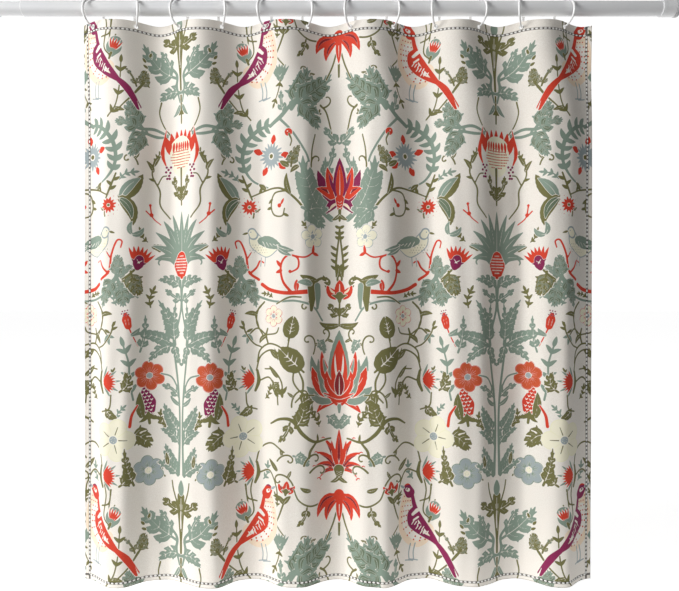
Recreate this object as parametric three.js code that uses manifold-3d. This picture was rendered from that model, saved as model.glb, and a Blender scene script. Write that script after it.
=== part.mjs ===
// A shower curtain on a tension rod, in millimetres, +Z up.
//
// The origin is the middle of the wall face of the right rubber pad. The rod runs from there
// along -X, and the curtain hangs below it. The front of the curtain faces -Y.
//
// The fabric hangs in even waves. It is divided at the fold lines, the front and the back of each
// wave, into one panel for each ring, so that the waves can deepen as the curtain is drawn.

import * as THREE from 'three';
import { mergeVertices } from 'three/addons/utils/BufferGeometryUtils.js';
import Module from 'manifold-3d';

// Driving dimensions: the fabric
const RING_COUNT = 12;
const RING_PITCH = 140.7; // along the rod, between one ring and the next
const LAST_RING_X = -374;
const WAVE_DEPTH = 58; // from the front of a wave to its back
const LEFT_MARGIN = 31; // fabric past the first ring, along the rod
const RIGHT_MARGIN = 89; // fabric past the last ring, along the rod
const CURTAIN_HEIGHT = 1829;
const CLOTH_THICKNESS = 1.2; // a doubled hem, with the fabric between taken as thick
const TOP_EDGE_Z = -43; // below the middle of the rod
const FOLD_GAP = 2.4; // between two panels at a fold line

// Driving dimensions: the rod
const ROD_LENGTH = 2294; // from wall to wall
const TUBE_R = 23.8;
const TUBE_WALL = 1;
const INNER_TUBE_R = 21.4;
const TUBE_MOUTH_X = -2150; // where the inner tube comes out of the outer tube
const TUBE_OVERLAP = 520; // how far the inner tube reaches inside the outer tube
const FIT_GAP = 0.3; // between pieces that touch

// Driving dimensions: the rings and eyelets
const WIRE_TOP_R = 3.2; // the ring is thick where it rides on the rod
const WIRE_BOTTOM_R = 2.4; // and thin where it goes through the eyelet
const RING_BOTTOM_Z = -60; // the middle of the wire, in the eyelet
const RING_YAW = 25; // degrees, turned with the slope of the fabric
const RING_SPLIT = 1.2; // the gap of the snap, behind the rod
const EYELET_DROP = 0.5; // the middle of the eyelet below the middle of the wire
const EYELET_BORE_R = 6;
const EYELET_WALL = 0.6;
const EYELET_FLANGE_R = 8.6;

// Driving dimensions: the end fittings, measured inwards from the wall
const PAD_DEPTH = 13;
const PAD_R = 27.4;
const CAP_DEPTH = 46;
const CAP_R = 26.2;
const CAP_FLOOR = 4;
const COLLAR_DEPTH = 59;
const COLLAR_R = 26.6;
const STUB_R = 6; // holds the pad in the floor of the cap
const STUB_LENGTH = 5;

// Driving dimensions: the lock inside the tubes
const NUT_LENGTH = 42;
const NUT_SLOT = 3;
const SCREW_R = 4;
const SCREW_LENGTH = 168;
const SCREW_HEAD_R = 8;
const PLUG_LENGTH = 30;
const SPRING_LENGTH = 62;
const SPRING_R = 8;
const SPRING_WIRE_R = 1.2;
const SPRING_TURNS = 7;

// Facets
const ROD_SIDES = 32;
const SMALL_SIDES = 16;
const RING_SIDES = 8;
const RING_STEPS = 24;
const WAVE_STEPS = 12; // along each panel
const SPRING_STEPS = 9; // in each turn
const SPRING_SIDES = 6;

const wasm = await Module();
wasm.setup();

const WHITE_ENAMEL = { color: 0xf2f2f3, roughness: 0.3, metalness: 0.1 };
const WHITE_PLASTIC = { color: 0xf4f4f2, roughness: 0.35, metalness: 0 };
const GREY_PLASTIC = { color: 0xb9babc, roughness: 0.5, metalness: 0 };
const GREY_RUBBER = { color: 0xd8d8d8, roughness: 0.8, metalness: 0 };
const FABRIC = { color: 0xf0e8dc, roughness: 0.85, metalness: 0 };
const ZINC = { color: 0xc4c6c8, roughness: 0.4, metalness: 0.9 };

const part = new THREE.Group();

// A name and a number of two digits, as in ring_03.
function numbered(name, number) {
  return `${name}_${String(number).padStart(2, '0')}`;
}

// Adds a mesh to a group, by default to the part itself.
function add(name, geometry, finish, group = part) {
  const mesh = new THREE.Mesh(geometry, new THREE.MeshStandardMaterial(finish));
  mesh.name = name;
  group.add(mesh);
  return mesh;
}

// Six times the volume inside a geometry, below 0 when its faces point in.
function signedVolume(geometry) {
  const corners = geometry.toNonIndexed().attributes.position;
  const [a, b, c] = [new THREE.Vector3(), new THREE.Vector3(), new THREE.Vector3()];
  let sum = 0;
  for (let i = 0; i < corners.count; i += 3) {
    a.fromBufferAttribute(corners, i);
    b.fromBufferAttribute(corners, i + 1);
    c.fromBufferAttribute(corners, i + 2);
    sum += a.dot(b.cross(c));
  }
  return sum;
}

// The same surface with shared vertices and its faces pointing out.
function closed(geometry) {
  geometry.deleteAttribute('normal');
  geometry.deleteAttribute('uv');
  const merged = mergeVertices(geometry, 1e-4);
  if (signedVolume(merged) < 0) {
    merged.index.array.reverse();
  }
  return merged;
}

function toManifold(geometry) {
  const merged = closed(geometry);
  const mesh = new wasm.Mesh({
    numProp: 3,
    vertProperties: new Float32Array(merged.attributes.position.array),
    triVerts: new Uint32Array(merged.index.array),
  });
  return new wasm.Manifold(mesh);
}

function fromManifold(solid) {
  const mesh = solid.getMesh();
  const geometry = new THREE.BufferGeometry();
  geometry.setAttribute('position', new THREE.BufferAttribute(mesh.vertProperties, 3));
  geometry.setIndex(new THREE.BufferAttribute(mesh.triVerts, 1));
  return geometry;
}

function subtract(geometry, tool) {
  return fromManifold(toManifold(geometry).subtract(toManifold(tool)));
}

// A solid of revolution around X, from [x, radius] pairs.
function revolve(profile, sides) {
  const points = profile.map(([x, radius]) => new THREE.Vector2(radius, x));
  const geometry = new THREE.LatheGeometry(points, sides);
  geometry.rotateZ(-Math.PI / 2);
  return closed(geometry);
}

// A ring or tube around X, between two radii.
function pipe(x0, x1, innerR, outerR, sides) {
  const profile = [
    [x0, innerR],
    [x0, outerR],
    [x1, outerR],
    [x1, innerR],
    [x0, innerR],
  ];
  return revolve(profile, sides);
}

// ---- The line that the fabric follows, seen from above ----

const firstRingX = LAST_RING_X - (RING_COUNT - 1) * RING_PITCH;

function ringX(number) {
  return firstRingX + (number - 1) * RING_PITCH;
}

// The angle along the wave: a ring at each quarter turn, the fabric's front at 0.
function wavePhase(x) {
  return (Math.PI * (x - firstRingX - RING_PITCH / 2)) / RING_PITCH;
}

function waveY(x) {
  return (-WAVE_DEPTH / 2) * Math.cos(wavePhase(x));
}

function waveSlope(x) {
  return ((Math.PI * WAVE_DEPTH) / (2 * RING_PITCH)) * Math.sin(wavePhase(x));
}

// The point beside the fabric's middle line, a distance to its back.
function besideWave(x, distance) {
  const slope = waveSlope(x);
  const length = Math.hypot(1, slope);
  return new THREE.Vector2(x - (slope * distance) / length, waveY(x) + distance / length);
}

// ---- The fabric, one panel for each ring ----

function panelEnds(number) {
  const left = number === 1 ? ringX(1) - LEFT_MARGIN : ringX(number) - RING_PITCH / 2 + FOLD_GAP / 2;
  const right =
    number === RING_COUNT ? ringX(number) + RIGHT_MARGIN : ringX(number) + RING_PITCH / 2 - FOLD_GAP / 2;
  return [left, right];
}

function clothPanel(number) {
  const [left, right] = panelEnds(number);
  const back = [];
  const front = [];
  for (let i = 0; i <= WAVE_STEPS; i++) {
    const x = left + ((right - left) * i) / WAVE_STEPS;
    front.push(besideWave(x, -CLOTH_THICKNESS / 2));
    back.unshift(besideWave(x, CLOTH_THICKNESS / 2));
  }
  const outline = new THREE.Shape([...front, ...back]);
  const panel = new THREE.ExtrudeGeometry(outline, { depth: CURTAIN_HEIGHT, bevelEnabled: false });
  panel.translate(0, 0, TOP_EDGE_Z - CURTAIN_HEIGHT);

  const holeR = EYELET_BORE_R + EYELET_WALL + FIT_GAP;
  const punch = new THREE.CylinderGeometry(holeR, holeR, WAVE_DEPTH / 2, SMALL_SIDES);
  placeEyelet(punch, number);
  return subtract(panel, punch);
}

// Turns a piece made around Y to stand square to the fabric, at an eyelet.
function placeEyelet(geometry, number) {
  const x = ringX(number);
  geometry.rotateZ(Math.atan(waveSlope(x)));
  geometry.translate(x, 0, RING_BOTTOM_Z - EYELET_DROP);
}

// ---- The eyelets ----

// One white ring that grips the edge of the hole in the fabric.
function eyelet(number) {
  const gripR = EYELET_BORE_R + EYELET_WALL;
  const inside = CLOTH_THICKNESS / 2 + FIT_GAP;
  const outside = inside + EYELET_WALL;
  const profile = [
    [-outside, EYELET_BORE_R],
    [-outside, EYELET_FLANGE_R],
    [-inside, EYELET_FLANGE_R],
    [-inside, gripR],
    [inside, gripR],
    [inside, EYELET_FLANGE_R],
    [outside, EYELET_FLANGE_R],
    [outside, EYELET_BORE_R],
    [-outside, EYELET_BORE_R],
  ];
  const geometry = revolve(profile, SMALL_SIDES);
  geometry.rotateZ(Math.PI / 2);
  placeEyelet(geometry, number);
  return geometry;
}

// ---- The rings ----

// Half the height of the ring's middle line: it hangs on the rod and ends in the eyelet.
const ringTopZ = TUBE_R + FIT_GAP + WIRE_TOP_R;
const ringR = (ringTopZ - RING_BOTTOM_Z) / 2;

// A ring in the XY plane, thinner towards its bottom, which is at -Y, and split at the side.
function ringBlank() {
  const blank = new THREE.TorusGeometry(ringR, 1, RING_SIDES, RING_STEPS);
  const corners = blank.attributes.position;
  const corner = new THREE.Vector3();
  const middle = new THREE.Vector3();
  for (let i = 0; i < corners.count; i++) {
    corner.fromBufferAttribute(corners, i);
    middle.set(corner.x, corner.y, 0).setLength(ringR);
    const height = (1 + middle.y / ringR) / 2;
    const wireR = THREE.MathUtils.lerp(WIRE_BOTTOM_R, WIRE_TOP_R, height);
    corner.sub(middle).multiplyScalar(wireR).add(middle);
    corners.setXYZ(i, corner.x, corner.y, corner.z);
  }
  const split = new THREE.BoxGeometry(4 * WIRE_TOP_R, RING_SPLIT, 4 * WIRE_TOP_R);
  split.translate(ringR, 0, 0);
  return subtract(blank, split);
}

// The ring's plane stands across the rod, turned with the slope of the fabric.
function ring(number) {
  const yaw = THREE.MathUtils.degToRad(number % 2 === 1 ? -RING_YAW : RING_YAW);
  const geometry = ringBlank();
  geometry.rotateX(Math.PI / 2);
  geometry.rotateZ(Math.PI / 2 + yaw);
  geometry.translate(ringX(number), 0, (ringTopZ + RING_BOTTOM_Z) / 2);
  return geometry;
}

// ---- The two tubes ----

const outerTubeR = TUBE_R - TUBE_WALL; // inside the outer tube
const innerTubeEndX = TUBE_MOUTH_X + TUBE_OVERLAP;
const tubeSetback = PAD_DEPTH + FIT_GAP + CAP_FLOOR + STUB_LENGTH; // from a wall to the end of a tube

// A plastic guide in the mouth of the outer tube, with a lip over the tube's end.
function mouthBush() {
  const boreR = INNER_TUBE_R + FIT_GAP;
  const sleeveR = outerTubeR - FIT_GAP;
  const lipX = TUBE_MOUTH_X - FIT_GAP;
  const profile = [
    [lipX - 2.5, boreR],
    [lipX - 2.5, TUBE_R - 0.6],
    [lipX - 1.9, TUBE_R],
    [lipX, TUBE_R],
    [lipX, sleeveR],
    [lipX + 28, sleeveR],
    [lipX + 28, boreR],
    [lipX - 2.5, boreR],
  ];
  return revolve(profile, ROD_SIDES);
}

function outerTube() {
  return pipe(TUBE_MOUTH_X, -tubeSetback, outerTubeR, TUBE_R, ROD_SIDES);
}

function innerTube() {
  const boreR = INNER_TUBE_R - TUBE_WALL;
  return pipe(-ROD_LENGTH + tubeSetback, innerTubeEndX, boreR, INNER_TUBE_R, ROD_SIDES);
}

// ---- The end fittings, each drawn with its wall face at x = 0 and the rod towards -X ----

function wallPad() {
  const profile = [
    [0, 0],
    [0, PAD_R - 2.4],
    [-1.2, PAD_R - 0.9],
    [-3.5, PAD_R],
    [-PAD_DEPTH + 2, PAD_R],
    [-PAD_DEPTH, PAD_R - 1.5],
    [-PAD_DEPTH, STUB_R],
    [-PAD_DEPTH - STUB_LENGTH, STUB_R - 1],
    [-PAD_DEPTH - STUB_LENGTH, 0],
  ];
  return revolve(profile, ROD_SIDES);
}

function endCap(tubeR) {
  const floorX = -PAD_DEPTH - FIT_GAP;
  const boreR = tubeR + FIT_GAP;
  const profile = [
    [floorX, STUB_R + FIT_GAP],
    [floorX, CAP_R - 1.2],
    [floorX - 1.2, CAP_R],
    [-CAP_DEPTH, CAP_R],
    [-CAP_DEPTH, boreR],
    [floorX - CAP_FLOOR, boreR],
    [floorX - CAP_FLOOR, STUB_R + FIT_GAP],
    [floorX, STUB_R + FIT_GAP],
  ];
  return revolve(profile, ROD_SIDES);
}

function capCollar(tubeR) {
  const boreR = tubeR + FIT_GAP;
  const profile = [
    [-CAP_DEPTH - FIT_GAP, boreR],
    [-CAP_DEPTH - FIT_GAP, COLLAR_R],
    [-COLLAR_DEPTH + 1.5, COLLAR_R],
    [-COLLAR_DEPTH, COLLAR_R - 1],
    [-COLLAR_DEPTH, boreR],
    [-CAP_DEPTH - FIT_GAP, boreR],
  ];
  return revolve(profile, ROD_SIDES);
}

function addEndFitting(side, tubeR, group) {
  add(`${side}_pad`, wallPad(), GREY_RUBBER, group);
  add(`${side}_cap`, endCap(tubeR), WHITE_PLASTIC, group);
  add(`${side}_collar`, capCollar(tubeR), WHITE_PLASTIC, group);
}

// ---- The lock: turning the inner tube drives the screw into a nut that grips the outer tube ----

const plugFaceX = innerTubeEndX + 2;
const nutX = plugFaceX + SPRING_LENGTH;

// A plastic plug in the end of the inner tube, which carries the screw.
function lockPlug() {
  const plugR = INNER_TUBE_R - TUBE_WALL - FIT_GAP;
  const boreR = SCREW_R + FIT_GAP;
  const profile = [
    [plugFaceX - PLUG_LENGTH, boreR],
    [plugFaceX - PLUG_LENGTH, plugR],
    [innerTubeEndX + FIT_GAP, plugR],
    [innerTubeEndX + FIT_GAP, INNER_TUBE_R],
    [plugFaceX, INNER_TUBE_R],
    [plugFaceX, boreR],
    [plugFaceX - PLUG_LENGTH, boreR],
  ];
  return revolve(profile, ROD_SIDES);
}

function lockScrew() {
  const left = plugFaceX - PLUG_LENGTH - 4;
  const right = left + SCREW_LENGTH;
  const profile = [
    [left, 0],
    [left, SCREW_R],
    [right, SCREW_R],
    [right, SCREW_HEAD_R],
    [right + 5, SCREW_HEAD_R],
    [right + 5, 0],
  ];
  return revolve(profile, SMALL_SIDES);
}

// A barrel with a slot along it, so that it can spread.
function lockNut() {
  const nutR = outerTubeR - FIT_GAP;
  const barrel = pipe(nutX, nutX + NUT_LENGTH, SCREW_R + 2 * FIT_GAP, nutR, ROD_SIDES);
  const slot = new THREE.BoxGeometry(NUT_LENGTH * 2, NUT_SLOT, nutR);
  slot.translate(nutX + NUT_LENGTH / 2, 0, nutR / 2 + 1);
  return subtract(barrel, slot);
}

class Helix extends THREE.Curve {
  constructor(x0, length, radius, turns) {
    super();
    Object.assign(this, { x0, length, radius, turns });
  }

  getPoint(t, target = new THREE.Vector3()) {
    const angle = 2 * Math.PI * this.turns * t;
    return target.set(
      this.x0 + this.length * t,
      this.radius * Math.cos(angle),
      this.radius * Math.sin(angle),
    );
  }
}

// A compression spring around the screw, between the plug and the nut.
function lockSpring() {
  const clearance = SPRING_WIRE_R + FIT_GAP;
  const path = new Helix(plugFaceX + clearance, SPRING_LENGTH - 2 * clearance, SPRING_R, SPRING_TURNS);
  const wire = new THREE.Shape().absarc(0, 0, SPRING_WIRE_R, 0, 2 * Math.PI);
  const geometry = new THREE.ExtrudeGeometry(wire, {
    extrudePath: path,
    steps: SPRING_TURNS * SPRING_STEPS,
    curveSegments: SPRING_SIDES / 2,
    bevelEnabled: false,
  });
  return closed(geometry);
}

// ---- The whole ----

add('rod_outer_tube', outerTube(), WHITE_ENAMEL);
add('rod_inner_tube', innerTube(), WHITE_ENAMEL);
add('mouth_bush', mouthBush(), GREY_PLASTIC);

addEndFitting('right', TUBE_R, part);
const leftEnd = new THREE.Group();
leftEnd.position.x = -ROD_LENGTH;
leftEnd.rotation.z = Math.PI;
part.add(leftEnd);
addEndFitting('left', INNER_TUBE_R, leftEnd);

add('lock_plug', lockPlug(), GREY_PLASTIC);
add('lock_nut', lockNut(), GREY_PLASTIC);
add('lock_screw', lockScrew(), ZINC);
add('lock_spring', lockSpring(), ZINC);

for (let number = 1; number <= RING_COUNT; number++) {
  add(numbered('cloth', number), clothPanel(number), FABRIC);
  add(numbered('eyelet', number), eyelet(number), WHITE_PLASTIC);
  add(numbered('ring', number), ring(number), WHITE_PLASTIC);
}

export default part;
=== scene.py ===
"""The looks of a printed shower curtain that hangs in waves from snap rings on a tension rod.

Lengths are in metres in the scene and in millimetres on the flat fabric. The front faces -Y.
"""

import math

import bpy
import numpy as np
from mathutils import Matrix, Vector


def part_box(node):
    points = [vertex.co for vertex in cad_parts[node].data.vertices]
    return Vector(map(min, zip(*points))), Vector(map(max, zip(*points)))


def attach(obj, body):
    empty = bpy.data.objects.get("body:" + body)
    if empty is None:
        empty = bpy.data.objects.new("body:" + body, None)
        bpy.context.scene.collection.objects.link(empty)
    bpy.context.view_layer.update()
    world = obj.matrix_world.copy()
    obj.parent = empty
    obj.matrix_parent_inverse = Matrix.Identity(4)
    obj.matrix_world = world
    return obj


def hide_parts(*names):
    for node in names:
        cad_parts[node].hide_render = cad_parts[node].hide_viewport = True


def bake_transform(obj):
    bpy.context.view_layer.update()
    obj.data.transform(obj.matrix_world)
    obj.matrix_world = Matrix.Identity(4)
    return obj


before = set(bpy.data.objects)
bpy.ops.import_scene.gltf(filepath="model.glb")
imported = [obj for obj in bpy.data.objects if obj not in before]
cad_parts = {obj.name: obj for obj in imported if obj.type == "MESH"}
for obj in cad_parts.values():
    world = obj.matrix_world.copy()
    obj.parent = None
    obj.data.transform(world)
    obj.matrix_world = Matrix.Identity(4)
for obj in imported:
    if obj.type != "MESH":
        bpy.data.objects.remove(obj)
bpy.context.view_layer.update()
scene = bpy.context.scene

# ---------------------------------------------------------------- choices for the fabric
FLAT_WIDTH = 1829.0  # millimetres, as cut
LEFT_OVERHANG, RIGHT_OVERHANG, LOW_OVERHANG = 0.0095, 0.0115, 0.016  # the cut edges hang outside the drawn ones
WAVE_HALF_DEPTH = 0.029
CLOTH_HALF, HEM_FRONT, HEM_BACK = 0.00018, 0.00045, 0.00075  # from the middle of the fabric to its faces
TOP_HEM, SIDE_HEM, BOTTOM_HEM = 33.0, 20.0, 19.0  # millimetres
STITCH_FROM_TOP, STITCH_FROM_SIDE, STITCH_FROM_BOTTOM = 30.0, 16.5, 15.5
STITCH_PITCH, STITCH_LENGTH, STITCH_WIDTH = 13.5, 9.6, 5.6
ROW_STEP, COLUMN_STEP = 2.5, 2.35  # millimetres down the fabric and along the rod
HOLE_RADIUS = 7.3  # in the fabric, under the eyelet's flanges

# ---------------------------------------------------------------- facts from the frame
RINGS = sum(name.startswith("ring_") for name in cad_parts)
eyelet_box = [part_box(f"eyelet_{i:02d}") for i in range(1, RINGS + 1)]
ring_x = np.array([(lo.x + hi.x) / 2 for lo, hi in eyelet_box])
eyelet_z = (eyelet_box[0][0].z + eyelet_box[0][1].z) / 2
PITCH = (ring_x[-1] - ring_x[0]) / (RINGS - 1)
left_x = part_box("cloth_01")[0].x - LEFT_OVERHANG
right_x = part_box(f"cloth_{RINGS:02d}")[1].x + RIGHT_OVERHANG
top_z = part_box("cloth_01")[1].z
HEIGHT = top_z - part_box("cloth_01")[0].z + LOW_OVERHANG
FLAT_HEIGHT = HEIGHT * 1000


# ---------------------------------------------------------------- small helpers
def smooth(x, low, high):
    t = np.clip((x - low) / (high - low), 0, 1)
    return t * t * (3 - 2 * t)


def unit(vectors):
    return vectors / np.linalg.norm(vectors, axis=-1)[..., None]


def sample(field, row, col):
    """The values of a grid at rows and columns with fractions."""
    r, c = row.astype(int), col.astype(int)
    a, b = row - r, col - c
    if field.ndim > 2:
        a, b = a[..., None], b[..., None]
    upper = field[r, c] * (1 - b) + field[r, c + 1] * b
    return upper * (1 - a) + (field[r + 1, c] * (1 - b) + field[r + 1, c + 1] * b) * a


def mesh_object(name, points, quads, materials, which=None, flat_shaded=False, sharp=None):
    """A mesh from arrays of points and quads. which is the material index of each quad."""
    points = np.asarray(points, np.float32)
    quads = np.asarray(quads, np.int32)
    mesh = bpy.data.meshes.new(name)
    mesh.vertices.add(len(points))
    mesh.vertices.foreach_set("co", points.ravel())
    mesh.loops.add(quads.size)
    mesh.loops.foreach_set("vertex_index", quads.ravel())
    mesh.polygons.add(len(quads))
    mesh.polygons.foreach_set("loop_start", np.arange(0, quads.size, 4, dtype=np.int32))
    mesh.polygons.foreach_set("use_smooth", np.full(len(quads), not flat_shaded))
    for material in materials:
        mesh.materials.append(material)
    if which is not None:
        mesh.polygons.foreach_set("material_index", np.asarray(which, np.int32))
    mesh.update(calc_edges=True)
    mesh.validate()
    if sharp is not None:
        mesh.set_sharp_from_angle(angle=math.radians(sharp))
    made = bpy.data.objects.new(name, mesh)
    scene.collection.objects.link(made)
    return made


def grid_quads(rows, columns, wrap_rows=False, wrap_columns=False):
    """Quads of a grid of points that is stored row by row."""
    r = np.arange(rows if wrap_rows else rows - 1)
    c = np.arange(columns if wrap_columns else columns - 1)
    r, c = np.meshgrid(r, c, indexing="ij")
    r2, c2 = (r + 1) % rows, (c + 1) % columns
    return np.stack([r * columns + c, r * columns + c2, r2 * columns + c2, r2 * columns + c], -1).reshape(-1, 4)


def cap_quads(sides, start, turned):
    """Quads that close a round end, whose points run on from start."""
    caps = np.array([[k, k + 1, sides - 2 - k, sides - 1 - k] for k in range(sides // 2 - 1)])
    return (caps[:, ::-1] if turned else caps) + start


def round_tube(path, radii, sides):
    """Points and quads of a round tube with capped ends, along a path that lies in one plane."""
    count = len(path)
    ahead = unit(np.gradient(path, axis=0))
    side = unit(np.cross(path[count // 3] - path[0], path[2 * count // 3] - path[0]))
    up = np.cross(side, ahead)
    turn = np.linspace(0, 2 * np.pi, sides, endpoint=False)[:, None]
    points = path[:, None] + (side * np.cos(turn) + up[:, None] * np.sin(turn)) * radii[:, None, None]
    body = grid_quads(count, sides, wrap_columns=True)
    caps = cap_quads(sides, 0, True), cap_quads(sides, (count - 1) * sides, False)
    return points.reshape(-1, 3), np.vstack([body, *caps])


def revolve(profile, sides):
    """Points and quads of a closed profile of (along, radius) turned round the X axis."""
    along, radius = profile.T
    turn = np.linspace(0, 2 * np.pi, sides, endpoint=False)[:, None]
    points = np.stack([along + 0 * turn, radius * np.cos(turn), radius * np.sin(turn)], -1).reshape(-1, 3)
    return points, grid_quads(sides, len(along), wrap_rows=True, wrap_columns=True)[:, ::-1]


def rounded(corners, radius):
    """A closed profile with each corner rounded off."""
    corners = np.array(corners, float)
    made = []
    for i, here in enumerate(corners):
        a, b = corners[i - 1] - here, corners[(i + 1) % len(corners)] - here
        cut = min(radius, 0.45 * np.linalg.norm(a), 0.45 * np.linalg.norm(b))
        start, end = here + unit(a) * cut, here + unit(b) * cut
        for t in np.linspace(0, 1, 5):
            made.append((1 - t) ** 2 * start + 2 * t * (1 - t) * here + t * t * end)
    return np.array(made)


# ---------------------------------------------------------------- materials
def linear(red, green, blue):
    """A colour given as it looks on a screen, 0 to 255, as the linear values that shaders take."""
    channel = np.array([red, green, blue]) / 255
    return tuple(np.where(channel <= 0.04045, channel / 12.92, ((channel + 0.055) / 1.055) ** 2.4)) + (1.0,)


class Nodes:
    """The nodes of a material or a world, and short ways to add to them."""

    def __init__(self, owner, shader="Principled BSDF"):
        self.owner = owner
        owner.use_nodes = True
        self.tree = owner.node_tree
        self.shader = self.tree.nodes[shader]

    def feed(self, node, sockets):
        """Gives values or other nodes' outputs to the numbered or named inputs of a node."""
        for key, value in sockets.items():
            if isinstance(value, bpy.types.NodeSocket):
                self.tree.links.new(value, node.inputs[key])
            else:
                node.inputs[key].default_value = value
        return node

    def add(self, kind, settings=None, **inputs):
        node = self.tree.nodes.new(kind)
        for key, value in (settings or {}).items():
            setattr(node, key, value)
        return self.feed(node, {key.replace("_", " "): value for key, value in inputs.items()})

    def math(self, operation, a, b=0.0):
        return self.feed(self.add("ShaderNodeMath", {"operation": operation}), {0: a, 1: b}).outputs[0]

    def mix(self, share, a, b):
        return self.feed(self.add("ShaderNodeMix", {"data_type": "RGBA"}), {0: share, 6: a, 7: b}).outputs[2]

    def ramp(self, value, low, high, to_low, to_high, soft=False):
        node = self.add("ShaderNodeMapRange", {"interpolation_type": "SMOOTHSTEP" if soft else "LINEAR"})
        return self.feed(node, dict(enumerate((value, low, high, to_low, to_high)))).outputs[0]

    def split(self, vector):
        return self.add("ShaderNodeSeparateXYZ", Vector=vector).outputs

    def noise(self, scale, detail, rough=0.5, vector=None):
        if vector is None:
            vector = self.add("ShaderNodeTexCoord").outputs["Object"]
        node = self.add("ShaderNodeTexNoise", Vector=vector, Scale=scale, Detail=detail, Roughness=rough)
        return node.outputs["Fac"]

    def shades(self, noise, dark, light, low=0.3):
        """A colour that drifts between two others with a noise."""
        return self.mix(self.ramp(noise, low, 1 - low, 0, 1), linear(*dark), linear(*light))

    def bump(self, height, distance, strength, **under):
        return self.add("ShaderNodeBump", Height=height, Distance=distance, Strength=strength, **under).outputs[0]

    def finish(self, **inputs):
        self.feed(self.shader, {key.replace("_", " "): value for key, value in inputs.items()})
        return self.owner


def new_material(name):
    return Nodes(bpy.data.materials.new(name))


def enamel_material():
    """Glossy white enamel on drawn steel tube, with faint orange peel and specks of dust."""
    n = new_material("white_enamel")
    peel = n.noise(160, 3, 0.6)
    colour = n.shades(n.noise(5, 2), (226, 227, 229), (234, 234, 234))
    colour = n.mix(n.ramp(n.noise(900, 1), 0.76, 0.8, 0, 0.35), colour, linear(205, 205, 203))
    return n.finish(Base_Color=colour, Roughness=n.ramp(peel, 0.3, 0.7, 0.16, 0.24), Specular_IOR_Level=0.4,
                    Normal=n.bump(peel, 0.0002, 0.25))


def plastic_material(name, dark, light, low_gloss, high_gloss, glow=0.0):
    """Moulded plastic with a fine grain, faint flow marks and scuffs."""
    n = new_material(name)
    flow = n.noise(26, 3, 0.55)
    scuffs = n.math("MULTIPLY", n.ramp(n.noise(75, 4, 0.7), 0.6, 0.75, 0, 0.3), 0.3)
    colour = n.mix(scuffs, n.shades(flow, dark, light), linear(206, 204, 200))
    gloss = n.math("ADD", n.ramp(flow, 0.3, 0.7, low_gloss, high_gloss), scuffs)
    return n.finish(Base_Color=colour, Roughness=gloss, Normal=n.bump(n.noise(600, 2, 0.6), 0.00004, 0.4),
                    Subsurface_Weight=glow, Subsurface_Radius=(1, 1, 1), Subsurface_Scale=0.003)


def grained_material(name, grain, dark, light, gloss, depth, strength, low=0.3, patches=None, **inputs):
    """A material with one grain in its gloss and its surface, and in its colour if it has no patches."""
    n = new_material(name)
    fine = n.noise(*grain)
    colour = n.shades(fine if patches is None else n.noise(*patches), dark, light, low)
    return n.finish(Base_Color=colour, Roughness=n.ramp(fine, 0.3, 0.7, *gloss),
                    Normal=n.bump(fine, depth, strength), **inputs)


enamel = enamel_material()
ring_plastic = plastic_material("ring_plastic", (249, 249, 248), (254, 254, 253), 0.2, 0.3, glow=0.4)
cap_plastic = plastic_material("cap_plastic", (236, 237, 238), (245, 245, 245), 0.26, 0.38)
eyelet_plastic = plastic_material("eyelet_plastic", (226, 224, 218), (238, 236, 231), 0.25, 0.36)
grey_plastic = plastic_material("grey_plastic", (140, 142, 144), (158, 160, 162), 0.45, 0.6)
rubber = grained_material("grey_rubber", (900, 3, 0.65), (176, 176, 176), (196, 196, 195), (0.62, 0.8),
                          0.0001, 0.5, patches=(40, 3))
steel = grained_material("zinc_plated_steel", (120, 4, 0.6), (176, 180, 184), (206, 208, 208), (0.25, 0.42),
                         0.00005, 0.3, low=0.35, Metallic=1.0)
thread = grained_material("white_thread", (2600, 2), (238, 236, 230), (254, 253, 250), (0.5, 0.7),
                          0.0001, 0.5, Sheen_Weight=0.2)


# ---------------------------------------------------------------- rod and its fittings
for material, nodes in (
    (enamel, ("rod_outer_tube", "rod_inner_tube")),
    (cap_plastic, ("mouth_bush", "right_cap", "left_cap", "right_collar", "left_collar")),
    (rubber, ("right_pad", "left_pad")),
    (grey_plastic, ("lock_plug", "lock_nut")),
    (steel, ("lock_screw", "lock_spring")),
):
    for node in nodes:
        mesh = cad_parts[node].data
        mesh.materials.clear()
        mesh.materials.append(material)
        mesh.polygons.foreach_set("use_smooth", np.full(len(mesh.polygons), True))
        mesh.set_sharp_from_angle(angle=math.radians(32))
        mesh.update()


# ---------------------------------------------------------------- rings
RING_SIDES, RING_STEPS = 20, 132
WIRE_TOP, WIRE_BOTTOM, WIRE_SIDES = 0.0032, 0.0025, 0.0011  # radii, and what the sides of a ring add
SNAP_GAP = 0.0006


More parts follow.
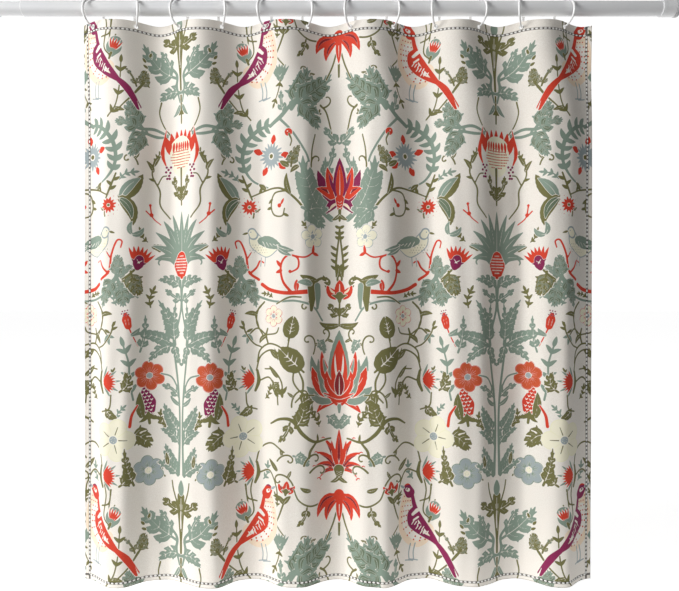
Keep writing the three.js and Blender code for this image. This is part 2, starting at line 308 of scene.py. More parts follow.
def ring_piece(number):
    """One snap ring: an open loop of round wire, with a collar and a rounded end where it snaps behind the rod."""
    low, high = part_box(f"ring_{number:02d}")
    middle_z = (low.z + WIRE_BOTTOM + high.z - WIRE_TOP) / 2
    radius = (high.z - WIRE_TOP - low.z - WIRE_BOTTOM) / 2
    gap = SNAP_GAP / radius
    turn = np.linspace(gap, 2 * np.pi - gap, RING_STEPS)  # starts at the snap, behind the rod
    path = np.stack([np.zeros_like(turn), radius * np.cos(turn), radius * np.sin(turn)], -1)
    wire = WIRE_BOTTOM + (WIRE_TOP - WIRE_BOTTOM) * (1 + np.sin(turn)) / 2 + WIRE_SIDES * np.cos(turn) ** 2
    from_snap = np.minimum(turn, 2 * np.pi - turn) * radius
    collar = np.exp(-(((from_snap - 0.004) / 0.0022) ** 2)) * 0.0007
    ends = np.sqrt(np.clip(1 - (1 - np.clip(from_snap / 0.0012, 0, 1)) ** 2, 0.15, 1))
    points, quads = round_tube(path, (wire + collar) * ends, RING_SIDES)
    yaw = math.radians(-25 if number % 2 == 1 else 25)
    c, s = math.cos(yaw), math.sin(yaw)
    turned = points @ np.array([[c, s, 0], [-s, c, 0], [0, 0, 1]]) + [ring_x[number - 1], 0, middle_z]
    made = mesh_object(f"snap_ring_{number:02d}", turned, quads, [ring_plastic], sharp=60)
    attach(made, f"ring_{number:02d}")
    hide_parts(f"ring_{number:02d}")


for number in range(1, RINGS + 1):
    ring_piece(number)

# ---------------------------------------------------------------- the hanging shape
edges = [left_x, *ring_x, right_x]


def columns_between(a, b):
    return np.linspace(a, b, max(2, round((b - a) * 1000 / COLUMN_STEP)) + 1)


column_x = np.concatenate([columns_between(a, b)[:-1] for a, b in zip(edges[:-1], edges[1:])] + [[right_x]])
row_drop = np.linspace(0, HEIGHT, round(FLAT_HEIGHT / ROW_STEP) + 1)


def wave(x, drop):
    """How far back the fabric stands at x along the rod, at each drop below its top edge."""
    free = smooth(drop, 0.04, 0.5)
    low = smooth(drop, 0.2, 1.83)
    size = 1 + free * (0.13 * np.sin(11.9 * x + 1.1 - 0.7 * drop) + 0.09 * np.sin(20.3 * x + 4.1 + 1.3 * drop))
    size += 0.1 * low
    shift = free * (0.2 * np.sin(7.6 * x + 0.7 + 1.0 * drop) + 0.11 * np.sin(17.0 * x + 2.9 - 1.7 * drop))
    shift -= (0.5 + 0.45 * smooth(x, -1.4, -0.4)) * smooth(drop, 0.02, 0.32)
    phase = np.pi * (x - ring_x[0] - PITCH / 2) / PITCH + shift
    main = -WAVE_HALF_DEPTH * size * (np.cos(phase) - 0.07 * free * np.cos(3 * phase + 0.4))
    ripple = 0.0013 * np.sin(61 * x + 2.0 + 2.1 * np.sin(1.9 * drop + 5 * x))
    ripple += 0.0007 * np.sin(97 * x + 1.0 - 3.1 * np.sin(2.7 * drop + 3 * x))
    crease = 0.0009 * np.sin(14.0 * drop + 9.0 * x) * np.sin(31.0 * x + 3.0 * drop)
    return main + free * (ripple + crease) + 0.002 * low * np.sin(2.3 * x + 1.9)


def slope_at(x, drop, step=5e-4):
    return (wave(x + step, drop) - wave(x - step, drop)) / (2 * step)


def along_fabric(drop):
    """Millimetres along the fabric from its left edge to each column, at each drop, scaled to the cut width."""
    y = wave(column_x[None, :], drop[:, None])
    step = np.hypot(np.diff(column_x)[None, :], np.diff(y, axis=1))
    total = np.concatenate([np.zeros((len(drop), 1)), np.cumsum(step, 1)], 1)
    return total * FLAT_WIDTH / total[:, -1:]


X, DROP = np.meshgrid(column_x, row_drop)
U = along_fabric(row_drop)
V = DROP * 1000
ring_column = [int(np.argmin(np.abs(column_x - x))) for x in ring_x]

# The holes for the eyelets: the grid's points round each hole are moved onto a circle.
eyelet_drop = top_z - eyelet_z
inside_hole = np.zeros((len(row_drop) - 1, len(column_x) - 1), bool)
for x, stretch in [(x, math.hypot(1, slope_at(x, eyelet_drop, 1e-4))) for x in ring_x]:
    across = (X - x) * 1000 * stretch
    down = (DROP - eyelet_drop) * 1000
    hole = np.hypot(across[1:, 1:] + across[:-1, :-1], down[1:, 1:] + down[:-1, :-1]) / 2 < HOLE_RADIUS - 0.4
    inside_hole |= hole
    touching = sum(np.pad(hole, ((r, 1 - r), (c, 1 - c))).astype(int) for r in (0, 1) for c in (0, 1))
    rim = (touching > 0) & (touching < 4)
    push = HOLE_RADIUS / np.maximum(np.hypot(across[rim], down[rim]), 1e-6) - 1
    X[rim] += across[rim] * push / 1000 / stretch
    DROP[rim] += down[rim] * push / 1000
    U[rim] += across[rim] * push
    V[rim] += down[rim] * push

sag = np.sin(np.pi * (X - ring_x[0]) / PITCH) ** 2  # 0 at the rings and 1 half-way between them
Z = top_z - 0.0012 - DROP + (0.0012 * (1 - sag) - 0.003 * sag) * np.exp(-DROP / 0.35)
slope = slope_at(X, DROP)
normal = unit(np.stack([-slope, np.ones_like(slope), np.zeros_like(slope)], -1))

# Hems: the fabric is folded to the back along all four edges, and puckers a little at the stitches.
to_edge = np.minimum.reduce([V - TOP_HEM, U - SIDE_HEM, FLAT_WIDTH - SIDE_HEM - U, FLAT_HEIGHT - BOTTOM_HEM - V])
from_stitch = np.abs([V - STITCH_FROM_TOP, U - STITCH_FROM_SIDE, FLAT_WIDTH - STITCH_FROM_SIDE - U,
                      FLAT_HEIGHT - STITCH_FROM_BOTTOM - V]).min(0)
hem = smooth(-to_edge, -0.2, 1.6)
pucker = np.exp(-((from_stitch / 2.6) ** 2)) * 0.0004
surface = np.stack([X, wave(X, DROP), Z], -1)
front = surface - normal * (CLOTH_HALF + hem * (HEM_FRONT - CLOTH_HALF) - pucker * 0.9)[..., None]
back = surface + normal * (CLOTH_HALF + hem * (HEM_BACK - CLOTH_HALF) - pucker * 0.5)[..., None]


# ---------------------------------------------------------------- the print
CELL_WIDTH = 563.5  # millimetres, half of the pattern, which is mirrored about both of its sides
CELL_HEIGHT = 1528.0
MIRROR_AT = 354.0  # millimetres along the fabric, where the first mirror line stands
EDGE = 7.0  # millimetres drawn beyond the cell on every side
LIMIT = 4.0  # millimetres, the greatest depth inside or outside an ink that is kept
SPREAD = 0.45  # millimetres that the green inks spread beyond their lines
SAGE, MOSS, OLIVE, RED, WINE, PLUM, PEACH, STRAW, GREY, PALE, TURN, SPOT = range(12)


def toward(degrees):
    """A step of length one at an angle."""
    return complex(math.cos(math.radians(degrees)), math.sin(math.radians(degrees)))


class Print:
    """The flat pattern, held as how deep each point lies inside each ink, in millimetres."""

    def __init__(self, step):
        self.step = step
        self.u = np.arange(-EDGE, CELL_WIDTH + EDGE + step, step)
        self.v = np.arange(-EDGE, CELL_HEIGHT + EDGE + step, step)
        self.inks = np.full((12, len(self.v), len(self.u)), -LIMIT, np.float32)

    def window(self, low, high, line):
        first = max(0, int(np.floor((low + EDGE) / self.step)))
        return slice(first, min(len(line), int(np.ceil((high + EDGE) / self.step)) + 1))

    def paint(self, ink, a, b, ra, rb, clear):
        """Paints a tapered stroke from a to b, mirrored about the cell's sides and repeated down the fabric."""
        reach = max(ra, rb) + LIMIT + clear
        for left, right in ((a, b), (-a.conjugate(), -b.conjugate()),
                            (2 * CELL_WIDTH - a.conjugate(), 2 * CELL_WIDTH - b.conjugate())):
            for lift in (0, -1j * CELL_HEIGHT, 1j * CELL_HEIGHT):
                p, q = left + lift, right + lift
                across, down = sorted((p.real, q.real)), sorted((p.imag, q.imag))
                if (across[0] - reach <= CELL_WIDTH + EDGE and across[1] + reach >= -EDGE
                        and down[0] - reach <= CELL_HEIGHT + EDGE and down[1] + reach >= -EDGE):
                    cols = self.window(across[0] - reach, across[1] + reach, self.u)
                    rows = self.window(down[0] - reach, down[1] + reach, self.v)
                    self.stroke(ink, p, q, ra, rb, clear, rows, cols)

    def stroke(self, ink, p, q, ra, rb, clear, rows, cols):
        """One stroke, with a cleared margin round it. Without an ink it clears every ink where it passes."""
        x, y = self.u[cols][None, :] - p.real, self.v[rows][:, None] - p.imag
        dx, dy = q.real - p.real, q.imag - p.imag
        length = dx * dx + dy * dy
        t = np.clip((x * dx + y * dy) / length, 0, 1) if length > 1e-9 else 0 * x * y
        depth = ra + (rb - ra) * t - np.hypot(x - t * dx, y - t * dy)
        depth = np.maximum(depth, -LIMIT).astype(np.float32)
        block = self.inks[:, rows, cols]
        if ink is None:
            np.minimum(block, -depth, out=block)
        else:
            own = np.maximum(block[ink], depth)
            np.minimum(block, -(depth + clear), out=block)
            block[ink] = own


cloth_print = Print(1.25)


class Pen:
    """Draws on the print at a place, turned by degrees and scaled. Its own y goes up the fabric."""

    def __init__(self, u, v, turn=0, size=1, flip=False):
        self.at, self.size, self.flip, self.spin = complex(u, v), size, flip, toward(turn)

    def placed(self, z):
        z = np.asarray(z, complex) * self.size
        return self.at + ((-z.conjugate() if self.flip else z) * self.spin).conjugate()

    def halves(self):
        """This pen mirrored about its own upright line, and then itself."""
        other = Pen(0, 0, 0, self.size, not self.flip)
        other.at, other.spin = self.at, self.spin
        return other, self

    def each(self, draw, ink, *strokes):
        for stroke in strokes:
            draw(ink, *stroke)

    def line(self, ink, points, widths, clear=0, steps=6):
        """A smooth line through the points. widths are full widths, spread evenly along it."""
        path = curve(points, steps)
        widths = np.atleast_1d(widths)
        radii = np.interp(np.linspace(0, 1, len(path)), np.linspace(0, 1, len(widths)), widths) / 2 * self.size
        if ink in (SAGE, MOSS, OLIVE):
            radii = radii + SPREAD
        path = self.placed(path)
        for a, b, ra, rb in zip(path[:-1], path[1:], radii[:-1], radii[1:]):
            cloth_print.paint(ink, complex(a), complex(b), float(ra), float(rb), clear)

    def dot(self, ink, at, width, clear=0):
        p, radius = complex(self.placed(at)), width / 2 * self.size
        cloth_print.paint(ink, p, p, radius, radius, clear)

    def leaf(self, ink, base, tip, width, bow=0, vein=0, clear=1, blunt=0.75):
        """A pointed leaf or petal, with a pale vein as wide as vein says."""
        mid = (base + tip) / 2 + (tip - base) * 1j * bow
        t = np.linspace(0, 1, 9)
        path = (1 - t) ** 2 * base + 2 * t * (1 - t) * mid + t * t * tip
        widths = np.maximum(width * np.sin(np.pi * t ** blunt) ** 0.85, [1.6] + [0.8] * 7 + [0.5])
        self.line(ink, path, widths, clear, 1)
        if vein:
            self.line(None, path[:7], [vein, vein, vein * 0.7], 0, 1)

    def spiral(self, ink, start, heading, length, curl, widths):
        """A tendril that leaves start at a heading in degrees and winds tighter as it goes."""
        steps = 22
        z, angle, path = complex(start), heading, [complex(start)]
        for share in np.arange(steps) / steps:
            angle += curl / steps * (0.35 + 1.95 * share * share)
            z += length / steps * (1.25 - 0.5 * share) * toward(angle)
            path.append(z)
        self.line(ink, path, widths, 0.6, 1)
        return path

    def acanthus(self, ink, base, tip, width, bow=0.15, pairs=4, stem=5, inner=None):
        """A solid lobed leaf: a broad bowed body whose pairs of lobes curl towards its tip."""
        mid = (base + tip) / 2 + (tip - base) * 1j * bow
        pairs = max(2, pairs - 1)
        gap = abs(tip - base) * 0.68 / pairs
        broad = min(width * 0.3, gap * 1.2)

        def at(t):
            return (1 - t) ** 2 * base + 2 * t * (1 - t) * mid + t * t * tip

        def turned(t, degrees):
            ahead = (1 - t) * (mid - base) + t * (tip - mid)
            return ahead / abs(ahead) * toward(degrees)

        self.line(ink, [at(0), at(0.14), at(0.3), at(0.55), at(0.8), at(0.97)],
                  [stem, stem, broad * 0.8, broad, broad * 0.7, 3], 1.6)
        lobes = []
        for t in np.linspace(0.18, 0.68, pairs):
            reach = width * 0.58 * (1 - 0.5 * max(t - 0.2, 0) / 0.6)
            thick = min(gap * 0.84, reach * 0.8)
            for side in (1, -1):
                elbow = at(t) + turned(t, 58 * side) * reach * 0.6
                end = elbow + turned(t, 14 * side) * reach * 0.62
                lobes.append((at(t), elbow, end, thick))
                self.line(ink, [at(t), elbow, end], [thick * 0.7, thick, thick * 0.8, 2.4], 1.6, 5)
                if reach > 18:
                    self.line(ink, [elbow, elbow + turned(t, 96 * side) * reach * 0.42], [thick * 0.7, 2.6], 1.6)
        for side in (1, -1):
            self.line(ink, [at(0.8), at(0.84) + turned(0.9, 34 * side) * width * 0.24], [broad * 0.5, 2.4], 1.6)
        self.line(ink, [at(0.78), at(0.9), tip], [broad * 0.62, broad * 0.44, 2], 1.6)
        if inner is not None:
            self.line(inner, [at(0.22), at(0.5), at(0.9)], [1, broad * 0.42, 2])
            for root, elbow, end, thick in lobes:
                self.line(inner, [root, elbow, elbow + (end - elbow) * 0.6], [thick * 0.3, thick * 0.56, 1.6], 0, 4)
        vein = None if inner is None else ink
        self.line(vein, [at(0.12), at(0.4), at(0.8)], [2.2, 2, 1.2])
        for root, elbow, end, thick in lobes:
            if thick > 9:
                self.line(vein, [root, root + (elbow - root) * 0.9, elbow + (end - elbow) * 0.4],
                          [1.8, 1.6, 1], 0, 3)

    def fan(self, ink, count, spread, length, width, base, clear, droop=0):
        """Petals that open like a fan about straight up. droop shortens the outer ones."""
        shares = np.linspace(-1, 1, count)
        for share in shares[np.argsort(-np.abs(shares))]:
            way = toward(90 + spread / 2 * share)
            tip = way * (base + length * (1 - droop * abs(share) ** 1.5))
            self.leaf(ink, base * way, tip, width * (1 - 0.2 * abs(share)), clear=clear)


def curve(points, steps):
    """Points on a smooth curve through the given points, steps for each stretch."""
    points = np.asarray([complex(p) for p in points])
    if steps <= 1 or len(points) < 3:
        return points
    p = np.concatenate([[2 * points[0] - points[1]], points, [2 * points[-1] - points[-2]]])
    t = np.arange(steps) / steps
    made = [0.5 * (2 * b + (c - a) * t + (2 * a - 5 * b + 4 * c - d) * t**2 + (3 * b - a - 3 * c + d) * t**3)
            for a, b, c, d in zip(p, p[1:], p[2:], p[3:])]
    return np.concatenate(made + [[points[-1]]])


def rows_of_dots(width, height, across, down, keep):
    """Places for dots in staggered rows inside a shape that keep(x, y) says."""
    found = []
    for r in range(down):
        for c in range(across):
            x = ((c + 0.5 * (r % 2) + 0.25) / across - 0.5) * width
            y = (r + 0.5) / down * height
            if keep(x, y):
                found.append(complex(x, y))
    return found


# Motifs. Each is drawn with a pen whose place is the foot or the middle of the motif.
def thistle(pen, crown, base, dots):
    """A tall crown of spikes over a round dotted cup."""
    for x, h in ((0, 62), (-16, 60), (16, 60), (-31, 55), (31, 55), (-44, 46), (44, 46)):
        pen.leaf(crown, complex(x * 0.75, 36), complex(x * 1.05, 36 + h), 17, 0, 0, 0.3)
    pen.line(crown, [44+4j, 54+40j, 44+100j], [2, 10, 1.5], 1)
    pen.line(base, [6j, 44j], [56, 72], 0.6)
    for x in range(-40, 41, 10):
        pen.leaf(crown, complex(x * 0.82, 66), complex(x * 0.9, 40 - 3 * (x // 10 % 2)), 6.5, 0, 0, 0)
    for z in rows_of_dots(70, 62, 8, 9, lambda x, y: (x / 34) ** 2 + ((y - 26) / 27) ** 2 < 1):
        pen.dot(dots, z - 2j, 3.6)


def small_thistle(pen, crown, cup):
    """A bud with a fringe of spikes over a small crossed cup."""
    pen.fan(crown, 7, 74, 34, 8, base=8, clear=0.4)
    pen.line(cup, [0, 8j, 16j], [10, 20, 16], 0.8)
    pen.line(None, [-6+5j, 5+15j], 1.5)
    pen.line(None, [6+5j, -5+15j], 1.5)
    pen.leaf(cup, 0, -15+13j, 5.5, -0.2)
    pen.leaf(cup, 0, 15+13j, 5.5, 0.2)


def daisy(pen, petal, centre, count, outer, petal_width, tips=None):
    """A round flower with narrow petals, seen from the front."""
    if tips is not None:
        for k in range(0, count, 2):
            way = toward(360 * k / count) * outer
            pen.leaf(tips, way * 0.9, way * 1.42, outer * 0.42, blunt=0.55)
    for k in range(count * 2):
        way = toward(180 * (k + 0.5) / count) * outer
        pen.leaf(petal, way * 0.22, way * (1 if k % 2 else 0.9), petal_width, clear=1.1)
    pen.dot(centre, 0, outer * 0.3, 1)


def blossom(pen, petal, outline, heart, count, outer):
    """An open flower with broad outlined petals."""
    broad = outer * 5.2 / count
    ways = [toward(360 * (k + 0.25) / count) * outer for k in range(count)]
    for way in ways:
        pen.line(outline, [way * 0.28, way * 0.68], [broad * 0.5, broad * 0.98], 1.2)
    for way in ways:
        pen.line(petal, [way * 0.3, way * 0.68], [broad * 0.36, broad * 0.98 - 4.6])
        for lean in (-13.75, 0, 13.75):
            ray = way * toward(lean)
            pen.line(outline, [ray * 0.3, ray * (0.66 if lean else 0.76)], [1.8, 1.3])
    pen.dot(heart, 0, outer * 0.42, 1.2)
    for k in range(6):
        pen.dot(outline, outer * 0.12 * toward(60 * k), 2.4)


def iris(pen, outer, inner, dark):
    """A large upright flower of three pairs of pointed petals over a drooping pair."""
    pen.leaf(dark, 4+30j, 66+120j, 40, -0.16, 0, 1.4)
    pen.leaf(outer, 2+34j, 72+66j, 30, 0.24, 0, 1.2)
    pen.leaf(inner, 12+44j, 60+68j, 9, 0.22, 0, 0)
    pen.leaf(outer, 4+36j, 36+132j, 30, -0.1, 0, 1.2)
    pen.leaf(dark, 8+50j, 32+116j, 9, -0.08, 0, 0)
    pen.leaf(dark, 30j, 160j, 38, 0, 0, 1.4)
    pen.leaf(outer, 36j, 142j, 24, 0, 0, 0)
    pen.line(None, [48j, 124j], [2.4, 1.6])
    pen.leaf(dark, 34j, 38-4j, 26, 0.3, 0, 1.4)
    pen.leaf(PEACH, 6+28j, 30+6j, 8, 0.25, 0, 0)
    pen.line(outer, [40j, 4j], [24, 10], 1.2)
    for y in (34, 26, 18):
        pen.line(None, [complex(-6, y), complex(0, y - 4), complex(6, y)], 1.8)
    pen.line(OLIVE, [8j, -22j], [8, 5], 1)
    pen.leaf(OLIVE, -4j, 22-20j, 10, -0.2, 1.7)


def lotus(pen, leafy, petal, heart):
    """A broad water-lily shape, with leaves outside and flame petals inside."""
    pen.leaf(petal, 4, 70-32j, 24, 0.2, 2.2, 1.6)
    pen.leaf(leafy, 6+8j, 100+44j, 40, -0.3, 2.4, 1.6)
    pen.leaf(leafy, 6+8j, 86+128j, 40, -0.26, 0, 1.6)
    pen.leaf(petal, 6+12j, 84+98j, 40, -0.3, 2.4, 1.6)
    pen.leaf(leafy, 5+14j, 62+118j, 30, -0.24, 2.2, 1.6)
    pen.leaf(petal, 4+16j, 50+140j, 30, -0.18, 0, 1.6)
    pen.leaf(leafy, 12+40j, 45+118j, 11, -0.16)
    pen.leaf(leafy, 10j, 196j, 60, 0, 0, 1.8)
    pen.leaf(petal, 14j, 170j, 46, 0, 0, 0)
    pen.leaf(None, 5+56j, 11+132j, 6, -0.06, 0, 0)
    pen.leaf(leafy, 3+8j, 54+70j, 28, -0.34, 2.2, 1.8)
    pen.leaf(petal, 2+10j, 34+84j, 26, -0.3, 2.2, 1.8)
    pen.leaf(heart, 12j, 82j, 26, 0, 2.4, 1.6)
    for y in (6, -5, -16):
        pen.line(petal, [complex(-38 - y, y + 14), complex(0, y), complex(38 + y, y + 14)], [3, 9, 3], 1.4)
    pen.line(leafy, [-18j, -36j], [10, 5], 1)


def flame(pen, petal, line, cup):
    """A feathery flower of long curling petals."""
    for tip, wide, bow in ((78+26j, 15, 0.3), (72+66j, 17, 0.24), (46+104j, 19, 0.16), (62-12j, 12, 0.36)):
        pen.leaf(petal, 3+4j, tip, wide, bow, 0, 1.5)
        pen.leaf(line, 12+10j, tip * 0.86, wide * 0.3, bow * 0.9, 0, 0)
        pen.spiral(petal, tip - (5+5j), 60, 17, -150, [4, 3, 2.4])
        pen.dot(petal, tip + (4+2j), 3.5)
    pen.leaf(petal, 4j, 128j, 22, 0, 0, 1.5)
    pen.leaf(line, 20j, 108j, 7, 0, 0, 0)
    pen.leaf(petal, 6j, 22+96j, 13, -0.05, 0, 1.2)
    pen.line(cup, [6j, -20j], [30, 12], 1.2)
    for k in range(4):
        pen.line(None, [complex(-8, 2 - 6 * k), complex(0, -2 - 6 * k), complex(8, 2 - 6 * k)], 1.7)
    pen.leaf(cup, -14j, 26-30j, 11, -0.3, 1.7)


def drooping(pen, petal, line):
    """Petals that hang down and outwards from the middle."""
    pen.leaf(petal, 3, 62-48j, 27, 0.42, 0, 1.5)
    pen.leaf(line, 16, 57-36j, 6, 0.42, 0, 0)
    pen.leaf(petal, 3-2j, 34-62j, 22, 0.32, 0, 1.5)
    pen.leaf(line, 10-10j, 31-50j, 5, 0.32, 0, 0)
    pen.leaf(petal, 2j, -70j, 17, 0, 2.2, 1.5)
    pen.line(petal, [6j, -12j], [26, 18], 0.5)


def cone(pen, ink, leafy):
    """A seed head of scales, with two small leaves."""
    pen.line(ink, [6j, 22j, 44j], [22, 30, 12], 1.4)
    for z in rows_of_dots(34, 48, 5, 8, lambda x, y: abs(x) < 11.5):
        pen.line(None, [z + (-2.1+1.2j), z - 1.4j, z + (2.1+1.2j)], [1.5, 1.7, 1.5], 0, 1)
    for half in pen.halves():
        half.leaf(leafy, 4j, 17-8j, 7, -0.3)
    pen.line(leafy, [4j, -14j], [5, 4], 0.6)


def heart_leaf(pen, ink, length=44.0):
    """A heart-shaped leaf that hangs from its stem, with fine veins."""
    for half in pen.halves():
        half.leaf(ink, 1+5j, complex(2, -length), length * 0.62, 0.24, 0, 1.2, 0.52)
    pen.line(ink, [4j, -length * 0.8j], [length * 0.35, 4])
    pen.line(None, [4j, -length * 0.86j], [2.2, 1.2])
    for k in range(3):
        for half in pen.halves():
            root = -1j * (4 + k * length * 0.2)
            half.line(None, [root, root + complex(length * (0.25 - 0.05 * k), -length * 0.13)], [1.8, 1.1])
    pen.line(ink, [4j, 18j], 3.2, 0.6)


def poppy(pen, petal, line, leafy):
    """A small flower from the side: three petals over a cup."""
    for half in pen.halves():
        half.leaf(petal, 4j, 28+30j, 20, -0.3, 0, 1.2)
        half.leaf(line, 7+12j, 23+27j, 5, -0.3, 0, 0)
    pen.leaf(petal, 4j, 42j, 22, 0, 2.6, 1.2)
    pen.line(leafy, [8j, -6j], [15, 6], 0.8)
    for half in pen.halves():
        half.leaf(leafy, -2j, 17+8j, 6.5, 0.25)


def bell(pen, cup, rays, leafy):
    """A tulip bud: a round cup with rays of another ink at its mouth."""
    pen.line(cup, [6j, 20j, 30j], [18, 34, 30], 1.2)
    pen.fan(None, 5, 46, 24, 8, base=18, clear=0)
    pen.fan(rays, 5, 40, 25, 4.6, base=17, clear=0.2)
    pen.line(leafy, [6j, -8j], [6, 4], 0.6)


def bird(pen, coat, belly, dots, legs):
    """A plain songbird that perches and looks up, with a barred wing and a long tail."""
    pen.line(belly, [-22-8j, -2-18j, 18+6j, 23+42j, 20+70j], [30, 50, 50, 34, 20], 1.4)
    pen.line(None, [-20-2j, -4-12j, 15+10j, 19+42j], [14, 36, 34, 20])
    for r, (mid, way, half, count) in enumerate(((20+66j, 1+0.1j, 7, 3), (21+56j, 1+0.1j, 9, 4),
            (22+46j, 1+0.1j, 11, 4), (23+36j, 1+0.05j, 12, 5), (22+26j, 1, 13, 5), (21+15j, 1-0.15j, 13, 5),
            (17+4j, 1-0.4j, 13, 5), (9-8j, 0.8-0.6j, 13, 5), (-17j, 0.5-0.9j, 11, 4),
            (-10-21j, 0.3-1j, 9, 4), (-20-21j, 0.2-1j, 7, 3))):
        for k in range(count):
            share = (k / (count - 1) - 0.5) * 2
            pen.dot(dots, mid + way / abs(way) * half * share, 3.2 + 0.6 * (r > 3))
    pen.each(pen.line, coat, ([8+66j, 2+40j, -12+12j, -44-34j], [7, 9, 11, 9], 1),
        ([2+42j, 15+28j, 12+4j, -14-18j, -44-34j], [5, 8, 8, 7, 9], 0.6), ([2+30j, 6+8j, -8-6j],
        [16, 20, 16]))
    for k in range(3):
        root = complex(-2 - 9 * k, 8 - 10 * k)
        for j in range(3):
            a = root + complex(6 - 5 * j, 3 - j) * 1.2
            pen.line(None, [a, a + (4.5-6.5j)], [2.2, 1.8])
    pen.line(None, [-2+34j, 7+26j], [8, 6])
    pen.line(None, [-4+20j, 5+14j], 4)
    pen.line(coat, [-40-30j, -62-52j, -84-88j], [9, 14, 11], 1)
    pen.line(None, [-80-74j, -88-94j], [0.8, 3.5])
    pen.line(coat, [14+72j, 20+82j], [22, 20], 1)
    pen.line(None, [17+78j, 21+80j], [8, 7])
    pen.dot(coat, 20+80j, 4)
    pen.leaf(legs, 27+84j, 40+92j, 5)
    for x in (2, 12):
        pen.line(legs, [complex(x, -34), complex(x + 4, -52), complex(x + 3, -68)], [2.6, 2.4, 2.4], 0.5)
        pen.line(legs, [complex(x - 5, -70), complex(x + 13, -66)], 2.4, 0.5)


def resting_bird(pen, wing, line, dots):
    """A smaller pale bird with a striped wing."""
    pen.line(line, [-30+2j, -6, 20+14j, 30+34j], [26, 48, 40, 24], 1.4)
    pen.line(PALE, [-30+2j, -6, 20+14j, 30+34j], [21, 43, 35, 19])
    pen.line(line, [30+34j, 34+42j], [24, 22])
    pen.line(PALE, [31+35j, 34+41j], [18, 16])
    pen.dot(line, 37+42j, 3.6)
    pen.leaf(OLIVE, 44+40j, 58+36j, 5)
    for z in rows_of_dots(50, 26, 7, 4, lambda x, y: x > -24):
        pen.dot(dots, z + (16-14j), 2.8)
    pen.leaf(wing, 20+20j, -58-4j, 30, -0.12)
    for k in range(5):
        pen.line(None, [complex(6 - 11 * k, 17 - 2.4 * k), complex(-3 - 11 * k, 2 + k)], [2.4, 1.8])
    pen.leaf(wing, -40+4j, -84-8j, 13, 0.1, 2.2)
    pen.leaf(wing, -40, -78-20j, 11, 0.1, 2.0)
    for x in (-2, 10):
        pen.line(line, [complex(x, -24), complex(x + 2, -46)], [2.4, 2.2], 0.5)


def sprig(pen, ink, points, pairs, size=17, width=3.4):
    """A thin stem through the points, with pairs of small leaves along it and one at its tip."""
    pen.line(ink, points, [width, width * 0.75], 0.6, 8)
    path = curve(points, 12)
    for k in range(pairs):
        i = int((0.15 + 0.75 * k / max(pairs - 1, 1)) * (len(path) - 2))
        ahead = path[i + 1] - path[i]
        ahead /= abs(ahead)
        for side in (-1, 1):
            way = ahead * toward(48 * side)
            pen.leaf(ink, path[i], path[i] + way * size, size * 0.36, -0.15 * side)
    ahead = path[-1] - path[-2]
    pen.leaf(ink, path[-1], path[-1] + ahead / abs(ahead) * size, size * 0.4)


